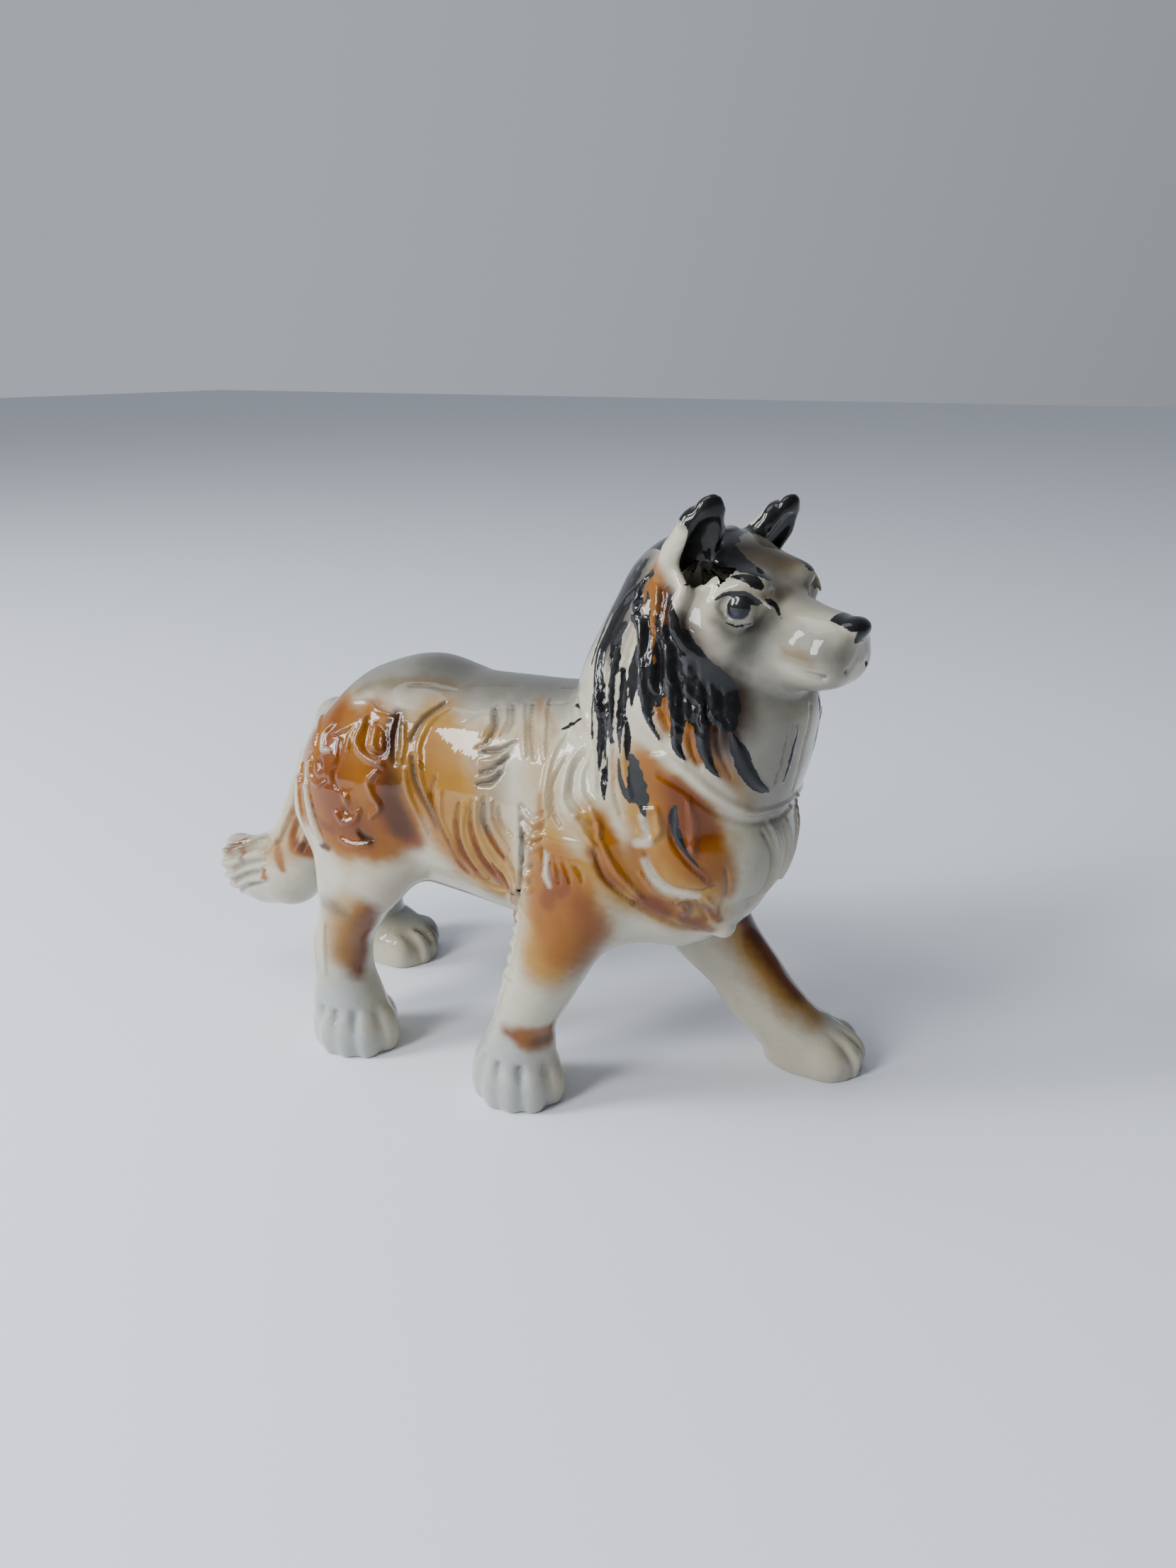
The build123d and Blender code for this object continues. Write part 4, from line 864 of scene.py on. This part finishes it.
# black locks and marks
ink(on_side, (-45.6, 122, .5), (-42, 118.6, .7), (-38.6, 114.6, 1.3), (-36, 109.6, 1.5), (-34, 104.4, 1.5),
    (-34, 100, 1.1), (-35.4, 96, .7), (-36.6, 92.4, .2))
ink(on_side, (-44.6, 121.6, .4), (-42.2, 117.6, .9), (-42.2, 114, 1.1), (-43.8, 110.6, 1.1),
    (-45.4, 106.6, 1.5), (-46, 102.4, 1.4), (-46.2, 98.4, .9), (-48, 94, .6), (-50, 91.4, .15))
LOADED = 1.7  # how much wider than a dry brush a loaded one draws
MANE_FINE = [
    ((-38.8, 105.6, .2), (-38, 100.6, .7), (-38.4, 94.6, .6), (-39.4, 89, .15)),
    ((-40.4, 103.4, .2), (-41.2, 98, .6), (-41.2, 92.4, .5), (-41.8, 87.6, .1)),
    ((-36.4, 96, .2), (-37.2, 91, .5), (-37.8, 85.4, .1)),
    ((-39.4, 111.4, .2), (-38.8, 106.6, .7), (-39.2, 102.6, .3)),
    ((-43.4, 107.6, .2), (-43, 102.6, .6), (-43.4, 97, .15)),
    ((-38.6, 86, .1), (-38.2, 81.6, .4), (-38.6, 77.6, .1)),
    ((-35.8, 93.6, .2), (-36.4, 88, .45), (-37, 82.6, .1)),
    ((-34.6, 102.6, .3), (-35.2, 97.4, .7), (-35.6, 92.4, .2)),
    ((-42.4, 94.6, .1), (-43.2, 90.6, .35), (-43.4, 86.6, .1)),
    ((-33.4, 97, .1), (-33.8, 92.6, .35), (-34.8, 88.6, .1)),
]
for rows in MANE_FINE:
    ink(on_side, *[(y, z, w * LOADED) for y, z, w in rows], rough=.1)
for turn, z in ((97, 118), (93, 112), (99, 108), (90, 105), (87, 114)):
    ink(on_ruff, (turn, z, .15), (turn - 2, z - 3, .5), (turn - 3, z - 6, .4), (turn - 6, z - 9, .1),
        rough=.2)

# nape: dark hair behind the ears, fading to grey down the neck
wash(SMOKE, .9, 3, on_ruff, (112, 122, 2), (116, 117, 3), (120, 111, 2.6), (124, 105, 1.4))
wash(SMOKE, .9, 4, on_ruff, (140, 122, 3), (150, 117, 3.4), (160, 111, 2.6), (166, 104, 1.4))
for turn in (112, 122, 132, 144, 156, 168):
    ink(on_ruff, (turn, 122 + turn * .01, .8), (turn + 4, 116, 1.3), (turn + 6, 109, .9),
        (turn + 4, 102, .2), rough=.25)
wash(PLUM, .8, 2.6, on_ruff, (52, 104, 1.6), (48, 99, 2.4), (52, 94, 1.6))
wash(PLUM, .7, 2.4, on_ruff, (72, 113, 1.4), (66, 108, 2), (60, 104, 2))
MANE_STROKES = [
    (.14, (80, 117.6, .5), (76.5, 113, 1.5), (74, 109, 2.4), (70, 104.6, 3), (66, 100.4, 3.2),
     (60, 97.6, 3.2), (54, 98, 2.8), (50, 95.6, 2)),
    (.12, (70, 111.6, .8), (66, 107, 2.4), (58, 103.8, 2.6), (51, 101.4, 2.2), (47.5, 98, 1.6)),
    (.3, (80, 112, .8), (77, 107, 1.3), (74.6, 101, 1.2), (74, 96, .4)),
    (.35, (86, 110, .3), (83, 106, .9), (81.6, 101.6, 1), (83, 98, .6)),
    (.12, (71, 101, 1), (71.6, 96, 1.35), (72.4, 91.6, 1), (70.4, 89.4, .6), (67.4, 88.2, .1)),
    (.12, (61, 96, 1.5), (60.4, 92, 1.2), (58.4, 88.8, .95), (55.6, 86.4, .55), (52.4, 85, .1)),
    (.12, (48.4, 93, .5), (45, 90, 1.4), (41.6, 86.6, 1.6), (37, 83.6, 1.2), (32.4, 81.8, .8),
     (28, 80.8, .1)),
    (.12, (16.4, 92.8, .1), (17.4, 89.6, .45), (18.4, 86, .5), (20.6, 82, .15)),
]
for rough, *rows in MANE_STROKES:
    ink(on_ruff, *rows, rough=rough)
ink(on_ruff, (5, 98, .2), (7, 94, .6), (8, 90, .15), sides=LEFT_ONLY)
COAT_STROKES = [
    (.25, (-44.4, 87.2, .5), (-45.2, 84, 1.6), (-46, 80.6, 1.9), (-46.8, 77.8, 1), (-47.6, 75.4, .1)),
    (.12, (-41.4, 86.4, .15), (-41.8, 83, .5), (-43, 80, .6), (-44.4, 78.2, .3)),
    (.12, (-53.4, 78.6, .3), (-53, 76.2, .9), (-53.6, 72.8, .9), (-55.6, 69.6, .4), (-59, 65.8, .05)),
    (.3, (-25.4, 88, .1), (-27.4, 89, .4), (-29.2, 90.6, .3)),
    (.3, (-26, 91.8, .1), (-27.6, 92.6, .5), (-29.8, 91.6, .15)),
]
for rough, *rows in COAT_STROKES:
    ink(on_side, *rows, rough=rough)

# crown between the ears, brow, lids, eye, nose
wash(SMOKE, .6, 3, on_crown, (16.5, -9, 2), (15.5, -4, 2.6), (14.5, 2, 2.4), sides=ONCE)
# painted shadow below the eye, under the lower lid
wash(SMOKE, .7, 1.6, on_head, (17.4, 114, .4), (20, 112.6, .9), (22.8, 112.8, .8), (24.2, 114.4, .3))
ink(on_head, (18.6, 113.9, .02), (20.6, 113.3, .12), (22.6, 113.8, .02), rough=.04)
ink(on_crown, (12.4, -11, 1.5), (12.6, -7, 2.2), (11.2, -2, 2.2), (10.6, 3, 2), (12, 8, 1.8), sides=ONCE,
    rough=.4)
ink(on_head, (13.4, 121, .4), (13.4, 123.4, 1.7), (13.2, 126, 2), (12, 127.6, 1.6), rough=.3)
ink(on_crown, (14.6, -12.4, .8), (15, -9.6, 1.4), (14.8, -6.4, 1), sides=ONCE, rough=.4)
ink(on_head, (18.4, 121.8, .2), (20.4, 121.9, .8), (22.4, 121.4, 1), (23.6, 120.4, .5), rough=.3)
ink(on_head, (16.6, 117.8, .15), (18.6, 118.9, .5), (21, 119, .7), (22.8, 117.9, .6), (24, 116.8, .4),
    (25.2, 115.4, .22), (26, 114.4, .02), rough=.04)

# the eye: a black pupil with painted shade in grey round it, and a painted reflection in blue-grey on its
# lower half
PUPIL_RADIUS = 2.3
EYE_REFLECTION = linear(34, 40, 56)
for side in (-1, 1):
    middle = np.array(on_head(20.8, 116.8, side)[:3])
    pupil = np.linalg.norm(points - middle, axis=1)
    near_eye = pupil < 5
    # painted shade in grey round the pupil
    paint[near_eye] += (GREY - paint[near_eye]) * 0.6 * smooth(4.8, 3.2, pupil[near_eye])[:, None]
    black[near_eye] = np.maximum(black[near_eye], inked(PUPIL_RADIUS - pupil[near_eye]))
    low_half = np.linalg.norm((points - np.array(on_head(20.4, 115.6, side)[:3])) * [1, 1, 1.7], axis=1)
    near_eye = low_half < 3
    # painted reflection: the lower half turns from black to blue-grey
    black[near_eye] *= smooth(0.4, 1.0, low_half[near_eye])
    paint[near_eye] += (EYE_REFLECTION - paint[near_eye]) * smooth(2.6, 1.6, low_half[near_eye])[:, None]

# the nose leather: f is forward in the turned head and s is towards the dog's left
f = (points - PIVOT) @ AHEAD
s = (points - PIVOT) @ LEFT
nose = np.minimum(np.minimum(f - 33.9, points[:, 2] - (113.2 + (38.6 - f) * 0.05)), 3.6 - np.abs(s))
tip_pad = np.minimum(np.minimum(f - 37.2, points[:, 2] - 111.0), 2.6 - np.abs(s))
black = np.maximum(black, inked(np.maximum(nose, tip_pad)))

# ears: black in front and at the tip, cream behind, with a cream rim on the outer edge
for side in (-1, 1):
    ear_way = EAR_OPENS[side] / np.linalg.norm(EAR_OPENS[side])
    across = np.cross(ear_way, [0, 0, 1])
    aside = np.abs(s - side * 12.5)
    on_ear = (aside < 6.5) & (points[:, 2] > 121) & (points[:, 2] + 0.5 * aside > 123.5)
    front = mesh_normals @ ear_way + 0.25 * (mesh_normals @ np.array([0, 0, 1.0])) + brushed * 0.06
    value = np.clip(0.5 + (front + 0.12) * 2.2, 0, 1)
    lean = (AHEAD * 5.6 + LEFT * side * 1.4) / 9.0
    middle = in_head(8.6, side * 11.9, 0)[None, :2] + (points[:, 2:3] - 124.2) * lean[None, :2]
    outward = (points[:, :2] - middle) @ across[:2] * (1 if side < 0 else 0)
    half = np.interp(points[:, 2], [122, 126, 130, 133], [2.8, 3.2, 4.0, 6.0])
    rim = smooth(half - 0.6, half + 0.1, outward + brushed * 0.25)
    black = np.where(on_ear, np.maximum(black, value) * (1 - rim), black)
touch = np.linalg.norm(points - np.array(in_head(11.5, -15.5, 132.0)), axis=1)
paint += (BROWN - paint) * (0.8 * smooth(3.4, 1.2, touch + brushed * 0.5))[:, None]

# the wash pools in the grooves and thins on the ridges
POOLED = np.array([0.52, 0.42, 0.36])  # how far a pooled wash darkens, by red, green and blue
GROOVE, RIDGE = 0.9, 1.2  # the depth where a wash pools most and the height where it thins most
pool = np.clip(-lift / GROOVE, 0, 1)[:, None] * 0.46
bare = np.clip(lift / RIDGE, 0, 1)[:, None] * 0.14
colored = (np.abs(paint - CREAM).sum(1) > 0.08)[:, None]
paint = paint * (1 - pool) + paint * POOLED * pool
paint = np.where(colored, paint * (1 - bare) + (paint * 0.45 + CREAM * 0.55) * bare, paint)

points = points + mesh_normals * lift[:, None]
points[:, 2] = np.maximum(points[:, 2], 0.0)


# -------------------- the luted pieces
def beyond(c, point, normal):
    """Which places are past the plane of a seam, on the side its normal points to."""
    n = np.array(normal, float)
    return (c - np.array(point)) @ (n / np.linalg.norm(n)) > 0


def inside_leg(c, rows, spare=2.2):
    """Which places are within a leg's sections, or within spare millimetres of them."""
    t = curve(rows, c[:, 2])
    across, along = (c[:, 0] - t[:, 0]) / (t[:, 2] + spare), (c[:, 1] - t[:, 1]) / (t[:, 3] + spare)
    return across ** 2 + along ** 2 < 1


centres = points[quads].mean(1)
PIECES = ["torso", "head", "right_ear", "left_ear", "right_fore_leg", "left_fore_leg",
    "right_hind_leg", "left_hind_leg", "tail"]
part = np.zeros(len(quads), int)
part[beyond(centres, (0, -46, 84), (0, -0.42, 1))] = PIECES.index("head")
for name, side in (("right_ear", -1), ("left_ear", 1)):
    foot = in_head(8.2, side * 11.6, 123.4 if side < 0 else 122.6)
    up = in_head(14.0, side * 13.3, 132.5) - foot
    up = up / np.linalg.norm(up)
    from_axis = np.linalg.norm(np.cross(centres - foot, up), axis=1)
    part[beyond(centres, foot, up) & (from_axis < 9) & (centres[:, 2] > 120)] = PIECES.index(name)
LEG_SEATS = [
    ("right_fore_leg", (-18.3, -28.6, 48.8), (-0.75, 0.1, -1), RIGHT_FORE),
    ("left_fore_leg", (18.5, -38.0, 48.8), (0.75, -0.35, -1), LEFT_FORE),
    ("right_hind_leg", (-18.9, 28.0, 48.8), (-0.75, 0.05, -1), RIGHT_HIND),
    ("left_hind_leg", (18.1, 36.25, 48.8), (0.75, 0.25, -1), LEFT_HIND),
]
for name, seat, normal, rows in LEG_SEATS:
    same_side = centres[:, 0] * seat[0] > 0
    same_end = centres[:, 1] * seat[1] > 0
    low = (centres[:, 2] < 34) & same_side & same_end
    inside = beyond(centres, seat, normal) & same_side & inside_leg(centres, rows)
    part[low | inside] = PIECES.index(name)
behind = beyond(centres, (0, 52.5, 61.4), (0, 1, -0.25))
part[behind & (np.abs(centres[:, 0]) < 12) & (centres[:, 2] > 14)] = PIECES.index("tail")

skin_normals = vertex_normals(points, quads)
if skin_normals[points[:, 2].argmax()][2] < 0:
    skin_normals = -skin_normals
    quads = quads[:, ::-1]

# the piece on the other side of every edge, to find the seams
count = len(points)
starts, ends = quads.astype(np.int64), np.roll(quads, -1, axis=1).astype(np.int64)
ahead_key = (starts * count + ends).ravel()
back_key = (ends * count + starts).ravel()
order = np.argsort(ahead_key)
twin = order[np.searchsorted(ahead_key[order], back_key)] // 4
twin_part = part[twin].reshape(-1, 4)


def put(number, name):
    """One closed piece: its share of the skin, with a face over each seam towards its neighbours."""
    mine = np.nonzero(part == number)[0]
    used, faces = np.unique(quads[mine], return_inverse=True)
    faces = faces.reshape(-1, 4)
    pts, nrm = points[used], skin_normals[used]
    hue, dark = paint[used], black[used]
    caps = []
    for other in np.unique(twin_part[mine]):
        if other == number:
            continue
        quad, edge = np.nonzero(twin_part[mine] == other)
        a, b = faces[quad, edge], faces[quad, (edge + 1) % 4]
        middle = pts[a].mean(0)
        pts = np.vstack([pts, middle])
        nrm = np.vstack([nrm, [0, 0, 1]])
        hue = np.vstack([hue, CREAM])
        dark = np.append(dark, 0)
        caps.append(np.column_stack([b, a, np.full(len(a), len(pts) - 1)]))
    caps = np.vstack(caps)
    mesh = bpy.data.meshes.new(name)
    mesh.vertices.add(len(pts))
    mesh.vertices.foreach_set("co", (pts / METRE).astype(np.float32).ravel())
    corners = np.concatenate([faces.ravel(), caps.ravel()]).astype(np.int32)
    mesh.loops.add(len(corners))
    mesh.loops.foreach_set("vertex_index", corners)
    mesh.polygons.add(len(faces) + len(caps))
    loop_starts = np.concatenate([np.arange(len(faces)) * 4, len(faces) * 4 + np.arange(len(caps)) * 3])
    mesh.polygons.foreach_set("loop_start", loop_starts.astype(np.int32))
    mesh.polygons.foreach_set("use_smooth", np.ones(len(faces) + len(caps), bool))
    mesh.update(calc_edges=True)
    color = mesh.color_attributes.new("paint", "FLOAT_COLOR", "POINT")
    opaque = np.column_stack([hue, np.ones(len(hue))])
    color.data.foreach_set("color", opaque.astype(np.float32).ravel())
    brush = mesh.attributes.new("ink", "FLOAT", "POINT")
    brush.data.foreach_set("value", dark.astype(np.float32))
    mesh.normals_split_custom_set_from_vertices(nrm.tolist())
    obj = bpy.data.objects.new(name, mesh)
    bpy.context.scene.collection.objects.link(obj)
    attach(obj, "root")
    return obj


def glaze_material(name):
    """Painted porcelain under a thick clear glaze."""
    m = bpy.data.materials.new(name)
    m.use_nodes = True
    tree = m.node_tree
    new, link = tree.nodes.new, tree.links.new
    bsdf = tree.nodes["Principled BSDF"]

    def attribute(kind):
        node = new("ShaderNodeAttribute")
        node.attribute_name = kind
        return node

    def noise(scale, detail, rough=0.5):
        node = new("ShaderNodeTexNoise")
        link(place.outputs["Object"], node.inputs["Vector"])
        node.inputs["Scale"].default_value = scale
        node.inputs["Detail"].default_value = detail
        node.inputs["Roughness"].default_value = rough
        return node.outputs["Fac"]

    def spread(value, low, high, to_low=0.0, to_high=1.0):
        node = new("ShaderNodeMapRange")
        node.interpolation_type = "SMOOTHSTEP"
        link(value, node.inputs["Value"])
        for key, number in (("From Min", low), ("From Max", high), ("To Min", to_low), ("To Max", to_high)):
            node.inputs[key].default_value = number
        return node.outputs["Result"]

    def mix(kind, factor, a, b):
        node = new("ShaderNodeMix")
        node.data_type = "RGBA"
        node.blend_type = kind
        for socket, value in ((node.inputs[0], factor), (node.inputs[6], a), (node.inputs[7], b)):
            if isinstance(value, (float, tuple)):
                socket.default_value = value
            else:
                link(value, socket)
        return node.outputs[2]

    def maths(kind, a, b):
        node = new("ShaderNodeMath")
        node.operation = kind
        for socket, value in ((node.inputs[0], a), (node.inputs[1], b)):
            if isinstance(value, float):
                socket.default_value = value
            else:
                link(value, socket)
        return node.outputs[0]

    place = new("ShaderNodeTexCoord")
    base = attribute("paint").outputs["Color"]
    # the wash settles unevenly: broad pools and fine sprayed grain
    base = mix("MULTIPLY", spread(noise(240, 3), 0.42, 0.72, 0.0, 0.30), base, (0.80, 0.74, 0.66, 1))
    base = mix("MULTIPLY", spread(noise(2600, 2), 0.5, 0.75, 0.0, 0.22), base, (0.66, 0.60, 0.54, 1))
    # a few iron specks in the clay
    cells = new("ShaderNodeTexVoronoi")
    link(place.outputs["Object"], cells.inputs["Vector"])
    cells.inputs["Scale"].default_value = 95
    speck = spread(cells.outputs["Distance"], 0.035, 0.05, 1.0, 0.0)
    rare = spread(noise(70, 1), 0.60, 0.62, 0.0, 0.75)
    base = mix("MIX", maths("MULTIPLY", speck, rare), base, (0.055, 0.035, 0.025, 1))
    # black brushwork with a crisp, slightly ragged edge
    wander = maths("MULTIPLY", maths("SUBTRACT", noise(1500, 3), 0.5), 0.22)
    ragged = maths("ADD", attribute("ink").outputs["Fac"], wander)
    cover = spread(ragged, 0.46, 0.56)
    thick_black, thin_black = (0.0042, 0.0045, 0.0050, 1), (0.011, 0.011, 0.011, 1)
    tint = mix("MIX", spread(noise(500, 2), 0.3, 0.8), thick_black, thin_black)
    link(mix("MIX", cover, base, tint), bsdf.inputs["Base Color"])
    bsdf.inputs["Roughness"].default_value = 0.3
    bsdf.inputs["Specular IOR Level"].default_value = 0.08
    bsdf.inputs["IOR"].default_value = 1.5
    bsdf.inputs["Coat Weight"].default_value = 1.0
    bsdf.inputs["Coat Roughness"].default_value = 0.035
    bsdf.inputs["Coat IOR"].default_value = 1.38
    bsdf.inputs["Subsurface Weight"].default_value = 0.05
    bsdf.inputs["Subsurface Radius"].default_value = (0.0022, 0.0016, 0.0011)
    bsdf.inputs["Subsurface Scale"].default_value = 1.0
    # the glaze runs: very shallow waves
    bump = new("ShaderNodeBump")
    bump.inputs["Strength"].default_value = 0.12
    bump.inputs["Distance"].default_value = 0.0004
    link(noise(330, 2), bump.inputs["Height"])
    link(bump.outputs["Normal"], bsdf.inputs["Normal"])
    link(bump.outputs["Normal"], bsdf.inputs["Coat Normal"])
    return m


SLOT = {"torso": "coat_glaze", "head": "coat_glaze", "tail": "coat_glaze", "right_ear": "ear_glaze",
    "left_ear": "ear_glaze"}
NODES = {"torso": ["torso_shell"], "head": ["head_shell", "neck_slip_joint"],
    "tail": ["tail", "tail_slip_joint"], "right_ear": ["right_ear", "right_ear_slip_joint"],
    "left_ear": ["left_ear", "left_ear_slip_joint"]}
glazes = {kind: glaze_material(kind) for kind in ("coat_glaze", "leg_glaze", "ear_glaze")}
for number, name in enumerate(PIECES):
    piece = put(number, name + "_porcelain")
    kind = SLOT.get(name, "leg_glaze")
    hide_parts(*NODES.get(name, [name, name.replace("_leg", "_slip_joint")]))
    piece.data.materials.append(glazes[kind])

# -------------------- camera, floor, light
camera = bpy.data.objects.new("camera", bpy.data.cameras.new("camera"))
bpy.context.scene.collection.objects.link(camera)
camera.data.lens, camera.data.sensor_width = 26.0, 36.0
camera.data.clip_start, camera.data.clip_end = 0.01, 20
camera.location = (-0.2070, -0.1308, 0.1590)
heading, pitch = math.radians(27.5), math.radians(20.8)
look = Vector((math.cos(heading) * math.cos(pitch), math.sin(heading) * math.cos(pitch), -math.sin(pitch)))
camera.rotation_mode = "QUATERNION"
camera.rotation_quaternion = look.to_track_quat("-Z", "Y")
bpy.context.scene.camera = camera


def plain(name, color, rough=0.6):
    """A plain matt material."""
    m = bpy.data.materials.new(name)
    m.use_nodes = True
    b = m.node_tree.nodes["Principled BSDF"]
    b.inputs["Base Color"].default_value = (*color, 1)
    b.inputs["Roughness"].default_value = rough
    return m


def stage_sheet(name, corners, material):
    """A flat sheet with four corners that is only there to be looked at."""
    mesh = bpy.data.meshes.new(name)
    mesh.from_pydata(corners, [], [(0, 1, 2, 3)])
    obj = bpy.data.objects.new(name, mesh)
    bpy.context.scene.collection.objects.link(obj)
    mesh.materials.append(material)
    return obj


stage_sheet("floor", [(-4, -4, 0), (4, -4, 0), (4, 4, 0), (-4, 4, 0)],
    plain("table_white", (0.8, 0.83, 0.9)))
world = bpy.data.worlds.new("world")
bpy.context.scene.world = world
world.use_nodes = True

# the room is bright beyond the window side of the figurine and darker behind the viewer
room_way = world.node_tree.nodes.new("ShaderNodeTexCoord")
toward = world.node_tree.nodes.new("ShaderNodeVectorMath")
toward.operation = "DOT_PRODUCT"
toward.inputs[1].default_value = (0.15, 0.95, 0.25)
room_light = world.node_tree.nodes.new("ShaderNodeMapRange")
room_light.inputs["From Min"].default_value = -0.5
room_light.inputs["From Max"].default_value = 0.75
room_light.inputs["To Min"].default_value = 0.21
room_light.inputs["To Max"].default_value = 0.56
background = world.node_tree.nodes["Background"]
background.inputs["Color"].default_value = (0.75, 0.80, 0.88, 1)
world.node_tree.links.new(room_way.outputs["Generated"], toward.inputs[0])
world.node_tree.links.new(toward.outputs["Value"], room_light.inputs["Value"])
world.node_tree.links.new(room_light.outputs["Result"], background.inputs["Strength"])


def lamp(name, at, to, size, power, color=(1, 1, 1)):
    """A rectangular lamp at one place, facing another."""
    data = bpy.data.lights.new(name, "AREA")
    data.shape = "RECTANGLE"
    data.size, data.size_y = size
    data.energy = power
    data.color = color
    o = bpy.data.objects.new(name, data)
    o.location = at
    o.rotation_mode = "QUATERNION"
    o.rotation_quaternion = (Vector(to) - Vector(at)).to_track_quat("-Z", "Y")
    bpy.context.scene.collection.objects.link(o)
    return o


lamp("window_left", (-0.60, 0.74, 0.58), (0, 0, 0.06), (0.22, 0.62), 13, (0.93, 0.97, 1.0))
lamp("window_right", (-0.86, 0.36, 0.62), (0, 0, 0.06), (0.22, 0.62), 10, (0.98, 0.98, 1.0))
lamp("room", (-0.3, 0.5, 1.7), (0, 0, 0.06), (0.9, 0.9), 8, (0.96, 0.98, 1.0))
